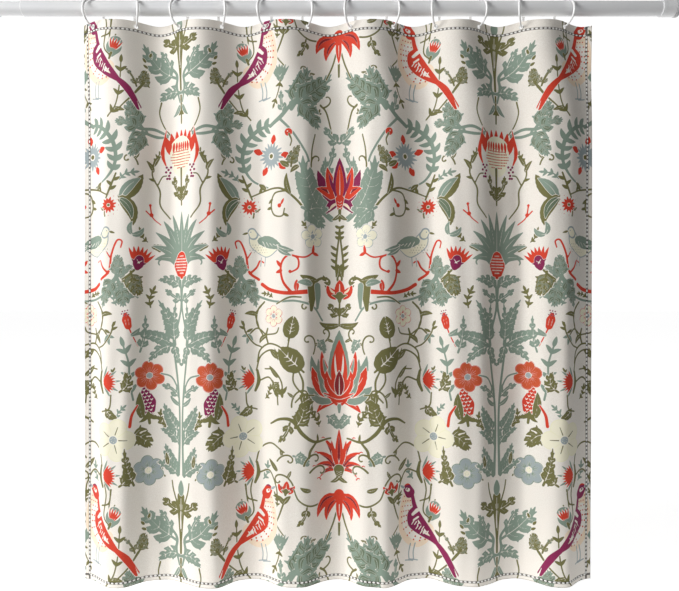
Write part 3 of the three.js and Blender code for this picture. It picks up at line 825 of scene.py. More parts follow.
def top_band():
    """From the top edge down to the round daisy: calyx, scrolls, thistle, singing bird and big leaves."""
    spine = Pen(0, 330)
    spine.line(STRAW, [330j, 150j, 0], [12, 12, 9], 0, 4)
    spine.line(OLIVE, [295j, 240j, 150j, 0], [30, 26, 8, 5], 0.8)
    spine.line(None, [290j, 190j], [2.4, 1.6])
    half = Pen(0, 330)
    half.line(None, [5+270j, 2+180j], [2, 1.4])
    half.acanthus(OLIVE, 4+250j, 66+286j, 44, -0.25, 3, 6)
    half.line(OLIVE, [12+262j, 30+312j, 36+345j], [5, 4, 3.4], 0.8)
    half.line(SAGE, [6+70j, 18+120j, 16+160j, 50+196j], [5, 9, 9, 7], 1)
    half.each(half.acanthus, SAGE, (20+150j, 132+262j, 74, -0.2, 4, 8), (40+178j, 78+246j, 34, 0.14, 3),
        (4+100j, 78+78j, 46, 0.42, 4, 9))
    half.line(OLIVE, [74+74j, 80+36j, 66-6j, 42-40j], [4.5, 3.2, 3.2, 3.2], 0.6)
    half.leaf(SAGE, 6+64j, 34+24j, 13, -0.2, 1.7)
    half.leaf(OLIVE, 46j, 14+28j, 9, -0.3)
    spine.leaf(SAGE, 300j, 350j, 24)

    pen = Pen(96, 362)
    pen.line(SAGE, [-42-4j, 14j, 46+10j, 78+22j], [7, 9, 9, 7], 1)
    pen.line(SAGE, [-42-10j, -6-10j, 40], [6, 9, 8], 1)
    pen.each(pen.acanthus, SAGE, (38+12j, 84+98j, 64, -0.12, 4, 9, MOSS),
        (26+2j, 78-84j, 62, 0.14, 4, 9, MOSS), (50+10j, 126+34j, 50, 0.1, 3, 7, MOSS))

    Pen(150, 260).line(OLIVE, [56-26j, 20+10j, -8+46j], [3.4, 5, 8], 0.6)
    Pen(142, 216, 14).acanthus(OLIVE, 0, 62j, 44, 0.15, 4, 6, MOSS)
    Pen(154, 214, -32).acanthus(OLIVE, 0, 66j, 24, 0.15, 3, 5, MOSS)
    for u, v, turn in ((112, 108, 20), (124, 128, -40), (118, 146, -60)):
        Pen(u, v, turn).leaf(OLIVE, 0, 17j, 8)

    pen = Pen(206, 300)
    sprig(pen, OLIVE, [42-14j, 14+24j, 90j, -4+160j], 3, 26, 4)
    pen.leaf(OLIVE, 18+14j, -16+4j, 12, 0, 1.7)
    pen.line(OLIVE, [12+250j, 34+214j, 24+300j], 3.4, 0.6)
    bell(Pen(236, 118, 22, 1.45), SAGE, RED, OLIVE)
    Pen(236, 118).line(OLIVE, [0, 22+30j, 12+96j, 20+140j], [4, 3.6, 3.4], 0.6)

    # the ring of leafy stem round the daisy, and the stem that rises to the big leaves
    ring = Pen(324, 440)
    turns = np.radians(np.array([262, 226, 190, 154, 122, 96]))
    ring.line(SAGE, list(104 * np.exp(1j * turns)), [4, 6, 10, 13, 12, 8], 1, 8)
    for k, (turn, reach) in enumerate(((205, 20), (188, 24), (170, 28), (152, 32), (134, 34), (118, 30),
            (104, 24))):
        way = toward(turn)
        ring.leaf(SAGE, way * 100, way * (104 + reach) * (0.985-0.17j), 17, 0.2)
        ring.leaf(SAGE, way * 106, way * (99 - reach) * (0.985-0.2j), 15, -0.2)
    ring.line(SAGE, [-4+100j, 40+128j, 84+178j], [12, 13, 8], 1)
    ring.line(SAGE, [34+120j, 76+76j, 118+10j, 130-20j], [8, 6.5, 6, 6], 1)
    Pen(398, 292).acanthus(SAGE, 0, 54+140j, 92, -0.12, 5, 11, MOSS)
    Pen(396, 272).acanthus(SAGE, 0, 142+112j, 84, -0.16, 5, 11, MOSS)
    Pen(420, 270).acanthus(SAGE, -10+6j, 70-82j, 76, 0.2, 4, 11, MOSS)
    Pen(372, 300).acanthus(SAGE, 0, -8+70j, 30, 0.1, 3, 6)
    Pen(500, 300).line(OLIVE, [30j, 20+10j, 36-50j, 46-110j], [7, 5, 4, 4], 0.8)
    Pen(500, 300).spiral(OLIVE, 10+24j, 20, 60, 210, [5, 4, 3.4])
    Pen(470, 420).line(OLIVE, [-8-60j, -4, 8+50j], 4, 0.8)
    Pen(CELL_WIDTH, 372).acanthus(SAGE, -20j, 48+34j, 40, -0.2, 3, 6)
    small_thistle(Pen(362, 196, 4, 1.25), SAGE, SAGE)
    sprig(Pen(362, 196), OLIVE, [0, -8-36j, -24-72j], 2, 19, 3.4)
    Pen(348, 60).line(OLIVE, [26-90j, 2-58j, 14-20j, 28+20j], [3.4, 3.6, 4.6, 5], 0.8)
    for side, turn in ((-1, 42), (1, -42)):
        Pen(374, 48, turn).leaf(OLIVE, 0, 34j, 15, 0.14 * side, 1.7)
    poppy(Pen(380, 14, -6, 0.95), RED, WINE, OLIVE)
    Pen(420, 52).line(OLIVE, [-14+52j, 2+16j, 40-6j, 92], [3.4, 4, 5, 5], 0.8)
    Pen(448, 62, 160).acanthus(OLIVE, 0, 10+66j, 28, 0.24, 3)
    Pen(462, 8).leaf(OLIVE, 0, -36+14j, 14, 0.2, 1.7)

    axis = Pen(CELL_WIDTH, 20)
    axis.line(OLIVE, [-30j, -110j, -150j], [11, 7, 5], 0.8)
    half = Pen(CELL_WIDTH, 20)
    half.line(OLIVE, [4-52j, 20-110j, 42-160j], [5, 4.6, 4.4], 0.8)
    drooping(Pen(CELL_WIDTH, 40, 0, 1.25), RED, WINE)
    thistle(Pen(0, 478, 0, 1.32), RED, PALE, SPOT)
    bird(Pen(281, 142, 0, 1.6), TURN, PEACH, SPOT, GREY)


def middle_band():
    """From the daisy down to the second bird and its branch."""
    daisy(Pen(324, 440), GREY, OLIVE, 9, 50, 9.5, RED)
    Pen(388, 366).dot(RED, 0, 25, 1.4)
    Pen(388, 366).line(OLIVE, [2-6j, 10-26j, 6-44j], [6, 3.4, 3.4], 0.6)
    Pen(388, 366).dot(None, -3+3j, 5)
    Pen(396, 478, -22).acanthus(OLIVE, 0, 74j, 38, inner=MOSS)
    Pen(388, 476, 60).leaf(OLIVE, 0, 34j, 17, 0, 1.7)

    # two broad leaves that stand behind the tall flower
    hood = Pen(470, 560)
    hood.acanthus(SAGE, 66-84j, -36+116j, 104, 0.26, 6, 18)
    hood.acanthus(SAGE, 78-40j, 46+122j, 60, 0.12, 5, 12)
    hood.spiral(OLIVE, -8+84j, 96, 66, -250, [5, 4.4, 3.4])
    hood.leaf(OLIVE, -48+84j, -76+62j, 14, -0.2, 1.7)
    wing = Pen(CELL_WIDTH, 560)
    wing.acanthus(SAGE, 58+60j, 20+160j, 40, 0.18, 3, 6)
    iris(Pen(CELL_WIDTH, 624, 0, 1.16), RED, WINE, PLUM)

    # curled olive stem over the resting bird
    pen = Pen(360, 640)
    pen.line(OLIVE, [-112+70j, -62+88j, 92j, 44+62j, 76+26j], [3.4, 4.5, 5.5, 6.5, 7], 0.8)
    pen.line(OLIVE, [26+84j, -22+76j, -36+36j, -24+6j, 6+2j, 14+26j], [4, 4.6, 4.6, 4.2, 3.8, 3.4], 0.8)
    for z, tip in ((-30+58j, -48+44j), (-36+30j, -54+26j), (12+8j, 28), (-84+82j, -70+110j)):
        pen.leaf(OLIVE, z, tip, 9)
    pen.leaf(OLIVE, -60+92j, -86+112j, 15, 0, 1.7)
    pen.leaf(OLIVE, 34+70j, 22+142j, 17, 0.2, 1.7)
    pen.dot(RED, -4+36j, 14, 1)
    pen.leaf(RED, 2+40j, 12+60j, 8)
    Pen(430, 612, 232).acanthus(SAGE, 0, 104j, 66, 0.1, 4, 8)
    Pen(448, 622, 276).acanthus(SAGE, 0, 78j, 46, 0.2, 3, 7)
    blossom(Pen(468, 706, 10, 0.95), PALE, GREY, GREY, 5, 36)

    # half-open leaf and star flower
    leaf = Pen(198, 612)
    leaf.leaf(OLIVE, 12+30j, -64+112j, 44, 0.16, 0, 1.4)
    leaf.leaf(SAGE, 6+30j, -56+98j, 30, -0.18, 2.2, 1.2)
    leaf.leaf(OLIVE, 12+34j, -34-58j, 40, -0.34, 0, 1.4)
    leaf.leaf(MOSS, 10+30j, -30-36j, 22, -0.3, 2)
    leaf.leaf(OLIVE, -28-44j, -30-82j, 10, 0.2)
    daisy(Pen(243, 604, 0, 0.8), RED, OLIVE, 6, 36, 10)
    for k in range(12):
        Pen(243, 604, 30 * k).dot(RED, 34j, 3.6)
    Pen(246, 560).line(OLIVE, [6-20j, -6+10j, -26+60j], [4.4, 6, 5], 0.8)
    for turn, y in ((60, 4), (-50, 18), (64, 34)):
        Pen(240 - y * 0.4, 556 - y, turn).leaf(OLIVE, 0, 24j, 10)

    # olive branch with berries, next to the spiky plant
    twig = Pen(60, 640)
    twig.line(OLIVE, [-14-4j, 18+40j, 20+90j, 44+140j, 36+196j], [3.4, 4, 4.6, 4, 3.4], 0.8)
    twig.line(OLIVE, [26+110j, 12+136j, -2+140j], 3.4, 0.6)
    twig.each(twig.leaf, OLIVE, (34+122j, 56+128j, 8), (40+150j, 64+186j, 13, 0.2, 1.7),
        (38+170j, 16+206j, 13, -0.2, 1.7))
    for x, y in ((-8, 160), (0, 152), (-2, 168), (-14, 150), (-10, 140), (-16, 168), (-4, 130), (-12, 130)):
        twig.dot(PLUM, complex(x, y), 8, 0.8)
    axis = Pen(0, 640)
    axis.line(OLIVE, [160j, 90j, 40j], [9, 6, 5], 0.8)
    half = Pen(0, 640)
    half.acanthus(OLIVE, 70j, 30+138j, 34, -0.3, 3)
    half.leaf(OLIVE, 56j, 24+76j, 11, 0, 1.7)
    plant = Pen(0, 800)
    for tip, wide, bow in ((96 + 20j, 26, 0.3), (104 + 66j, 26, 0.2), (94 + 112j, 27, 0.14),
            (68 + 150j, 27, 0.1), (38 + 170j, 24, 0.06)):
        plant.leaf(SAGE, 5+8j, tip, wide, bow, 2.2, 1.5)
    plant.leaf(SAGE, 6j, 180j, 24, 0, 2.2, 1.5)
    plant.spiral(SAGE, 30+4j, 50, 74, -190, [7, 6, 3.4])
    plant.line(RED, [26j, 0j, -22j], [40, 62, 44], 1.6)
    for z in rows_of_dots(64, 66, 6, 7, lambda x, y: (x / 27) ** 2 + ((y - 33) / 33) ** 2 < 0.9):
        plant.line(None, [z + (-3-32j), z + (-28j), z + (3-32j)], [1.8, 2.4, 1.8], 0, 1)
    small = Pen(76, 664)
    small.line(RED, [0, 26+24j, 34+60j], [3.4, 4, 5], 0.8)
    small.line(RED, [26+24j, 48+44j], [4, 4.6], 0.8)
    small.dot(RED, 30+32j, 13, 0.8)
    small.dot(RED, 34+64j, 9, 0.8)

    # the branch under the resting bird, with red scrolls
    pen = Pen(300, 860)
    pen.line(SAGE, [-92+40j, -68-6j, -30-40j, 40-58j, 110-56j, 170-76j, 206-122j],
        [9, 8, 7, 6, 6, 6, 5], 1, 8)
    pen.line(RED, [-14-2j, 20-20j, 80-30j, 150-26j], [12, 12, 12, 15], 1.2)
    pen.line(RED, [96-28j, 68+10j, 62+60j, 84+92j, 116+84j, 118+52j, 92+36j], [9, 8, 7, 7, 6, 6, 5], 1, 8)
    pen.dot(RED, 92+40j, 10, 1)
    pen.line(RED, [100+92j, 140+86j, 172+104j], [5, 5.5, 5], 1)
    pen.each(pen.leaf, RED, (168+98j, 172+128j, 11), (168+100j, 192+92j, 11), (62+56j, 44+78j, 12),
        (66+44j, 42+36j, 12), (112-22j, 114+14j, 17, 0, 1.8))
    pen.each(pen.line, RED, ([-26+14j, -58+40j, -68+96j, -86+140j, -102+138j, -98+118j],
        [9, 8, 6.5, 6, 5, 4.5], 1, 8), ([-66+80j, -50+106j], [4.5, 4], 1),
        ([-56+34j, -34+54j, -22+76j, -8+70j], [7, 6.5, 6, 4.5], 1))
    pen.line(OLIVE, [46-66j, 90-44j, 128-44j], [3.6, 5, 4], 0.6)
    resting_bird(Pen(296, 742, 0, 1.3, flip=True), SAGE, GREY, OLIVE)
    pen = Pen(214, 840)
    pen.each(pen.acanthus, SAGE, (6, -2+74j, 50, 0.1, 4, 8, MOSS), (4j, -44+40j, 40, 0.2, 3, 7, MOSS),
        (-2j, -20-96j, 66, -0.1, 4, 9, MOSS), (6, 52-98j, 52, 0.14, 4, 8, MOSS))
    Pen(158, 832).acanthus(OLIVE, 14+12j, -16-66j, 62, 0.1, 4, 6, MOSS)
    Pen(152, 806).line(OLIVE, [0, 22-22j, 46-40j], [7, 5, 4], 0.8)
    small_thistle(Pen(152, 808, 16, 1.75), RED, PLUM)
    pen = Pen(168, 700, 30)
    pen.leaf(SAGE, 0, -20+40j, 17, 0.4, 1.7)
    pen.leaf(SAGE, 0, 20+38j, 15, -0.4, 1.7)

    # green cup on the branch, by the mirror line
    cup = Pen(468, 880)
    cup.line(OLIVE, [-6-66j, -2-20j, 20j], [10, 28, 40], 1.4)
    cup.line(SAGE, [18-60j, 20-20j, 18+12j], [8, 20, 22], 1.2)
    cup.spiral(OLIVE, 14+28j, 40, 74, -240, [9, 6, 4])
    cup.leaf(OLIVE, 14+30j, -44+48j, 22, 0.12, 1.7)
    cup.leaf(SAGE, -4+16j, -52+24j, 20, -0.2, 1.7)
    half = Pen(CELL_WIDTH, 860)
    half.line(OLIVE, [190j, 3+150j, 12+60j, 6+10j], [4, 4.4, 6, 6], 0.8)
    for y in (52, 74, 96, 118):
        half.leaf(OLIVE, complex(10, y - 6), complex(30, y + 10), 9)
    for y in (150, 166, 186):
        half.leaf(OLIVE, complex(2, y), complex(15, y + 8), 9)
    half.leaf(OLIVE, 10+20j, 6+66j, 17, 0.2, 1.7)
    poppy(Pen(CELL_WIDTH, 910, 0, 1.5), RED, PEACH, OLIVE)
    spine = Pen(CELL_WIDTH, 1000)
    spine.line(OLIVE, [84j, 40j, 0], [5, 4.4, 4.4], 0.8)
    half = Pen(CELL_WIDTH, 1000)
    half.acanthus(OLIVE, 34j, 34+74j, 34, -0.2, 3)
    half.leaf(OLIVE, 4j, 70+14j, 20, -0.3, 1.7)


def low_band():
    """From the heart leaves down to the feathery flower."""
    lotus(Pen(CELL_WIDTH, 1246, 0, 1.18), SAGE, RED, WINE)
    flame(Pen(CELL_WIDTH, 1486, 0, 1.12), RED, WINE, OLIVE)

    pen = Pen(330, 1120)
    pen.line(OLIVE, [-60, -50+40j, -14+62j, 30+52j, 58+20j], [4, 4.4, 4.8, 4.4, 4], 0.8)
    pen.line(OLIVE, [-18+62j, -26+88j, -20+112j], [5, 7, 5], 0.8)
    pen.leaf(OLIVE, -26+88j, -52+62j, 14, -0.3, 1.7)
    pen.line(OLIVE, [-26+90j, -60+112j, -86+92j], 4, 0.8)
    pen.line(OLIVE, [-20+92j, 14+98j, 24+116j], [4, 4, 3.6], 0.8)
    pen.each(pen.leaf, SAGE, (-86+92j, -94+60j, 11), (-86+92j, -110+84j, 10), (-86+92j, -74+64j, 10))
    pen.line(OLIVE, [-32-22j, 4-24j, 34-60j, 38-108j], [3.6, 4.4, 4.4, 3.6], 0.8)
    for turn, y in ((40, -96), (-30, -92), (10, -104)):
        Pen(368, 1120 - y + 8, turn).leaf(OLIVE, 0, 30j, 10)
    Pen(330, 1104).leaf(OLIVE, 20, -10+24j, 14, 0, 1.7)
    Pen(330, 1104).leaf(OLIVE, 22-6j, 8+34j, 6)
    pen.line(OLIVE, [66+4j, 56+50j, 62+90j], 3.6, 0.8)
    pen.spiral(OLIVE, 58+30j, 60, 44, -220, [4, 3.6, 3.2])
    heart_leaf(Pen(392, 1022, 168, 1.3), OLIVE, 44)
    heart_leaf(Pen(414, 1126, 226, 1.75), OLIVE, 46)
    Pen(420, 1150).line(OLIVE, [-14+14j, -16-30j, 12-66j, 52-76j], [4, 4.4, 4.4, 4], 0.8)
    Pen(424, 1170).line(OLIVE, [-4+26j, 10-10j, 6-50j, -14-76j], [4, 6, 4.4, 4], 0.8)

    pen = Pen(330, 1090)
    pen.line(OLIVE, [-44+160j, -66+130j, -56+88j], 4, 0.8)
    blossom(Pen(334, 966, 14, 0.9), PALE, RED, GREY, 6, 36)
    Pen(262, 960).line(OLIVE, [34+40j, 10+14j, 6-30j, 30-74j], [5, 4.6, 4.4, 4], 0.8)
    Pen(262, 960).leaf(OLIVE, 8-4j, -34, 15, -0.24, 1.7)
    Pen(240, 1030).line(OLIVE, [-16+44j, -8+8j, 18-28j, 44-40j], [3.6, 4, 4, 4], 0.8)
    for turn, x, y in ((30, -12, 30), (-60, -4, 10), (64, -10, 20)):
        Pen(240 + x, 1030 - y, turn).leaf(OLIVE, 0, 22j, 8)

    # orange flower over its seed head
    sprig(Pen(168, 1240), SAGE, [-6, 6+60j, 8+120j, 24+176j], 4, 34, 6)
    cone(Pen(112, 1296, -8, 1.9), TURN, OLIVE)
    Pen(134, 1270).leaf(OLIVE, -4-34j, 6+54j, 28, -0.12, 1.7)
    blossom(Pen(110, 1164, 6, 1.12), SPOT, RED, GREY, 6, 40)
    Pen(160, 1300).line(RED, [-12+40j, 6+10j, 12-26j], [6, 9, 10], 1)
    Pen(146, 1372).acanthus(OLIVE, 26+20j, -40-30j, 62, -0.3, 4, 10)
    Pen(60, 1320).acanthus(OLIVE, -54-24j, 32+24j, 34, -0.2, 4, 6)

    # side flower with a fringe, seen from the side, twice
    for v, size in ((1182, 1.0), (1488, 1.0)):
        pen = Pen(262, v, 84, size)
        pen.fan(SAGE, 5, 130, 58, 9, base=6, clear=1, droop=0.1)
        pen.fan(RED, 9, 104, 44, 9.5, base=4, clear=0.8)
        pen.line(OLIVE, [-34-4j, -12j, 34-4j], [7, 12, 7], 1)
        for k in range(7):
            pen.dot(None, complex(-24 + 8 * k, 2 + 0.02 * (k - 3) ** 2), 3)
        Pen(262, v).line(OLIVE, [14, 56+12j, 84-34j, 90-74j], [4.4, 4.4, 4, 4], 0.8)
        Pen(262, v).line(OLIVE, [-30-40j, -24-84j, 6-96j], [3.6, 4, 4], 0.8)
        Pen(196, v + 10).acanthus(OLIVE, 8-20j, -8+44j, 40, 0.5, 4, 6)
        Pen(262, v).line(OLIVE, [4+34j, 20+82j, 66+104j, 112+78j], [4, 4.4, 4.4, 4], 0.8)
        Pen(330, v - 34).leaf(OLIVE, 22-20j, -14+18j, 15, 0, 1.7)

    # olive branch by the mirror line
    pen = Pen(400, 1340)
    pen.line(OLIVE, [-76+20j, -40+38j, 34j, 34-10j, 76-38j, 136-34j], [4.5, 8, 11, 11, 8, 5], 1.2, 8)
    pen.acanthus(OLIVE, 10+12j, 38+96j, 56, -0.2, 4, 9)
    pen.acanthus(OLIVE, -8+26j, -46-38j, 34, 0.2, 3, 6)
    pen.line(OLIVE, [84-36j, 60-64j, 54-88j], [6, 8, 7], 1)
    pen.leaf(OLIVE, 88-38j, 84-12j, 8)
    Pen(452, 1452).spiral(OLIVE, -14, 76, 92, -300, [6, 5, 4])
    Pen(472, 1476).spiral(OLIVE, -14, 50, 92, -300, [6, 5, 4])

    blossom(Pen(224, 1368, 20, 1.5), PALE, STRAW, GREY, 5, 40)
    for k in range(5):
        Pen(224, 1368, 20 + 72 * k, 1.5).line(OLIVE, [12j, 30j], [1.8, 1.2])
    blossom(Pen(112, 1478, 8, 1.2), GREY, SAGE, PALE, 6, 38)
    pen = Pen(178, 1500)
    pen.acanthus(OLIVE, -20-20j, 10+104j, 36, -0.1, 5, 7)

    # sage leaves that climb the mirror line from the artichoke down to the calyx
    half = Pen(0, 1000)
    half.line(SAGE, [6+150j, 3+60j, 30-60j, 12-220j, 6-330j, 10-490j], [7, 7, 7, 7, 7, 9], 1, 8)
    half.each(half.acanthus, SAGE, (6+128j, 84+152j, 40, 0.3, 4, 7), (4+84j, 62+122j, 32, -0.1, 3, 6),
        (30-62j, 84+86j, 50, 0.14, 6, 10), (28-62j, 26+74j, 38, -0.08, 5, 9),
        (32-66j, 168-22j, 44, 0.16, 6, 9), (34-64j, 112-118j, 40, 0.26, 4, 8),
        (30-60j, -132j, 30, 0.16, 4, 7))
    half.line(SAGE, [16-210j, 40-170j, 74-158j], [5, 4.4, 4], 0.8)
    half.acanthus(SAGE, 12-236j, 72-196j, 34, 0.2, 3, 6)
    half.leaf(SAGE, 8-262j, 44-232j, 13, -0.2, 1.7)
    half.each(half.acanthus, SAGE, (8-352j, 64-258j, 44, -0.14, 5, 8), (8-392j, 74-342j, 38, 0.24, 4, 8),
        (12-488j, 58-392j, 44, -0.14, 5, 9), (14-494j, 84-452j, 38, 0.2, 4, 9))
    half.leaf(OLIVE, 50-462j, 56-420j, 12, 0, 1.7)
    tulip = Pen(178, 1000, -14)
    tulip.line(RED, [-14-70j, -6-34j, 0], [4, 4, 5], 0.8)
    tulip.line(RED, [2j, 22j, 42j], [22, 28, 12], 1.2)
    for z in rows_of_dots(24, 22, 3, 3, lambda x, y: True):
        tulip.dot(PLUM, z + 34j, 5)
    tulip.line(None, [-4+4j, -5+26j], 1.8)
    tulip.line(None, [5+4j, 5+26j], 1.8)
    tulip.leaf(SAGE, -30j, -34-14j, 14, 0.2, 1.7)
    Pen(130, 1024).acanthus(SAGE, 10-60j, -6+60j, 34, 0.1, 4, 6)


def small_motifs():
    """Sprigs, tendrils and leaves in the gaps between the large motifs."""
    for u, v, turn, size, ink in ((108, 938, 8, 1.2, OLIVE), (66, 1330, -12, 0.9, OLIVE),
            (214, 1300, 30, 0.9, SAGE), (292, 1508, -20, 1.1, SAGE), (208, 520, 62, 1.1, SAGE),
            (118, 722, -34, 0.9, OLIVE), (520, 880, 10, 0.8, OLIVE), (330, 905, 70, 0.8, OLIVE),
            (92, 458, 24, 0.8, OLIVE), (452, 700, 24, 0.8, OLIVE), (492, 1330, 30, 1.0, OLIVE),
            (300, 1240, -28, 0.9, OLIVE), (216, 930, -10, 0.9, SAGE), (350, 60, 10, 0.8, OLIVE),
            (470, 330, -34, 0.9, OLIVE), (232, 1180, 12, 0.8, OLIVE)):
        sprig(Pen(u, v, turn, size), ink, [0, 6+22j, 46j], 3)
    for u, v, turn, length, bend in ((470, 1090, 60, 110, 330), (506, 1058, 20, 84, 330),
            (398, 1262, 96, 120, -330), (438, 1290, 40, 96, -320), (404, 1516, 110, 110, 320),
            (350, 1440, 60, 90, -320), (140, 1190, 80, 70, 320), (476, 940, 120, 80, 330),
            (150, 470, 80, 80, -320), (256, 640, 70, 70, 320), (60, 1500, 60, 70, -320),
            (452, 196, 60, 80, 330)):
        pen = Pen(u, v, turn)
        path = pen.spiral(OLIVE, 0, 0, length, bend, [4.4, 4.4, 3.2])
        pen.dot(OLIVE, path[-1], 7)
        pen.leaf(OLIVE, path[5], path[5] + complex(18, -18 if bend > 0 else 18), 9, 0, 1.7)
    for u, v, turn, reach, ink in ((424, 1256, 24, 74, OLIVE), (404, 1420, -34, 60, SAGE),
            (524, 1300, -50, 58, SAGE), (250, 1268, -140, 50, OLIVE), (488, 1046, -60, 52, SAGE),
            (150, 905, 24, 56, SAGE), (64, 752, 20, 44, OLIVE), (330, 1180, -70, 54, OLIVE)):
        Pen(u, v, turn).acanthus(ink, 0, reach, reach * 0.62, 0.2, 4, 6)


for band in (small_motifs, top_band, middle_band, low_band):
    band()


# ---------------------------------------------------------------- the print laid on the fabric
from_mirror = (U - MIRROR_AT) % (2 * CELL_WIDTH)
cell_u = np.minimum(from_mirror, 2 * CELL_WIDTH - from_mirror)
cell_v = V % CELL_HEIGHT
# the birds change colour from one mirrored pair to the next, and from one repeat to the next
turned_pair = (np.floor((U - MIRROR_AT + CELL_WIDTH) / (2 * CELL_WIDTH)) + np.floor(V / CELL_HEIGHT)) % 2
INKS = np.stack([sample(ink, (cell_v + EDGE) / cloth_print.step, (cell_u + EDGE) / cloth_print.step)
                 for ink in cloth_print.inks]).astype(np.float32)

TINTS = (  # in the order in which they are laid on
    (STRAW, (243, 239, 206)),
    (PALE, (246, 241, 216)),
    (PEACH, (247, 226, 200)),
    (GREY, (160, 172, 174)),
    (SAGE, (134, 153, 138)),
    (MOSS, (98, 115, 90)),
    (OLIVE, (112, 110, 60)),
    (RED, (216, 54, 22)),
    (WINE, (136, 12, 26)),
    (PLUM, (132, 0, 74)),
    (SPOT, (204, 82, 40)),
)


def fabric_material(name, fade):
    """Printed plain-weave polyester, with painted shade along its stitch lines and its right and bottom folded
    edges. fade is how much of the print fails to show, as on its back.
    """
    n = new_material(name)
    flat = n.add("ShaderNodeAttribute", {"attribute_name": "flat"}).outputs["Vector"]
    along, down, turned = n.split(flat)
    bleed = n.math("MULTIPLY", n.math("SUBTRACT", n.noise(0.9, 2, 0.6, flat), 0.5), 0.9)
    shift = n.add("ShaderNodeCombineXYZ", X=bleed, Y=bleed, Z=bleed).outputs[0]
    shares = []
    for group in range(4):
        depth = n.add("ShaderNodeAttribute", {"attribute_name": f"ink{group}"}).outputs["Vector"]
        moved = n.feed(n.add("ShaderNodeVectorMath", {"operation": "ADD"}), {0: depth, 1: shift})
        shares += [n.ramp(channel, -0.45, 0.45, 0, 1, True) for channel in n.split(moved.outputs[0])]
    speckle = n.noise(0.55, 3, 0.7, flat)
    colour = n.shades(speckle, (234, 227, 216), (251, 247, 239), 0.35)
    colour = n.mix(n.ramp(n.noise(0.012, 3, 0.5, flat), 0.3, 0.7, 0, 0.35), colour, linear(248, 238, 228))
    for ink, tint in TINTS:
        colour = n.mix(shares[ink], colour, linear(*tint))
    colour = n.mix(shares[TURN], colour, n.mix(turned, linear(138, 0, 78), linear(212, 52, 22)))
    colour = n.mix(n.ramp(speckle, 0.3, 0.7, 0.05, 0.0), colour, linear(250, 240, 228))
    if fade:
        colour = n.mix(fade, colour, linear(246, 241, 234))

    def near(*lines):
        """1 within half a width of any of the lines, and 0 farther off."""
        share = 0.0
        for value, line, half in lines:
            off = n.math("ABSOLUTE", n.math("SUBTRACT", value, line))
            share = n.math("MAXIMUM", share, n.ramp(off, half, half + 1.6, 1, 0, True))
        return share

    # Painted shade: a dark band along each stitch line, standing in for the shade in the gaps between the stitches
    # and in the pucker under them.
    painted_stitch_shade = near((down, STITCH_FROM_TOP, 3.0), (down, FLAT_HEIGHT - STITCH_FROM_BOTTOM, 2.8),
                (along, STITCH_FROM_SIDE, 2.9), (along, FLAT_WIDTH - STITCH_FROM_SIDE, 2.9))
    colour = n.mix(n.math("MULTIPLY", painted_stitch_shade, 0.88), colour, linear(62, 58, 52))
    # Painted shade: the right and bottom folded edges are darkened, standing in for the shade where these folds turn
    # away from the light.
    edge = near((down, FLAT_HEIGHT, 1.2), (along, FLAT_WIDTH, 1.0))
    colour = n.mix(n.math("MULTIPLY", edge, 0.55), colour, linear(128, 122, 112))

    threads, picks = (
        n.add("ShaderNodeTexWave", {"bands_direction": axis}, Vector=flat, Scale=0.42, Distortion=0.6, Detail=1.0)
        for axis in "XY"
    )
    weave = n.bump(n.math("MULTIPLY", threads.outputs["Fac"], picks.outputs["Fac"]), 0.00016, 0.35)
    return n.finish(Base_Color=colour, Roughness=n.ramp(speckle, 0.3, 0.7, 0.7, 0.85), Specular_IOR_Level=0.25,
                    Sheen_Weight=0.06, Sheen_Roughness=0.5,
                    Normal=n.bump(n.noise(0.16, 3, 0.6, flat), 0.0011, 0.3, Normal=weave))


fabric_front = fabric_material("printed_fabric", 0)
fabric_back = fabric_material("fabric_back", 0.48)


# ---------------------------------------------------------------- fabric pieces
def hang(piece, index):
    """Attaches the end pieces of the fabric, or their stitches, to the folds that hold them; the pieces between the
    end rings stay where they hang, with their place baked into their points.
    """
    if index == 0:
        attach(piece, "fold_01")
    elif index == RINGS:
        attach(piece, f"fold_{RINGS:02d}")
    else:
        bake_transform(piece)


def columns_of(index):
    """The first and the last column of a piece."""
    return (0 if index == 0 else ring_column[index - 1],
            len(column_x) - 1 if index == RINGS else ring_column[index])


def fabric_piece(index):
    """The fabric from one ring's line to the next, as a thin closed body, printed on its front."""
    first, last = columns_of(index)
    part = slice(first, last + 1)
    f, b = front[:, part], back[:, part]
    rows, cols = f.shape[:2]
    count = rows * cols
    quads = grid_quads(rows, cols)[~inside_hole[:, first:last].ravel()]
    front_quads = quads[:, ::-1]
    directed = np.stack([front_quads, np.roll(front_quads, -1, 1)], -1).reshape(-1, 2).astype(np.int64)
    key, reverse = directed @ [count, 1], directed @ [1, count]
    border = directed[~np.isin(key, reverse)]
    walls = np.stack([border[:, 1], border[:, 0], border[:, 0] + count, border[:, 1] + count], -1)
    every = np.vstack([front_quads, quads + count, walls])
    which = np.repeat([0, 1, 0], [len(quads), len(quads), len(walls)])
    used = np.unique(every)
    renumber = np.zeros(2 * count, np.int32)
    renumber[used] = np.arange(len(used))
    points = np.vstack([f.reshape(-1, 3), b.reshape(-1, 3)])[used]
    piece = mesh_object(f"fabric_{index:02d}", points, renumber[every], [fabric_front, fabric_back], which, sharp=50)
    layers = {f"ink{group}": INKS[3 * group : 3 * group + 3, :, part] for group in range(4)}
    layers["flat"] = np.stack([U[:, part], V[:, part], turned_pair[:, part]])
    for name, layer in layers.items():
        values = np.moveaxis(layer, 0, -1).reshape(-1, 3)[used % count].astype(np.float32)
        piece.data.attributes.new(name, "FLOAT_VECTOR", "POINT").data.foreach_set("vector", values.ravel())
    return piece, float((U[0, last] - U[0, first]) / 1000)


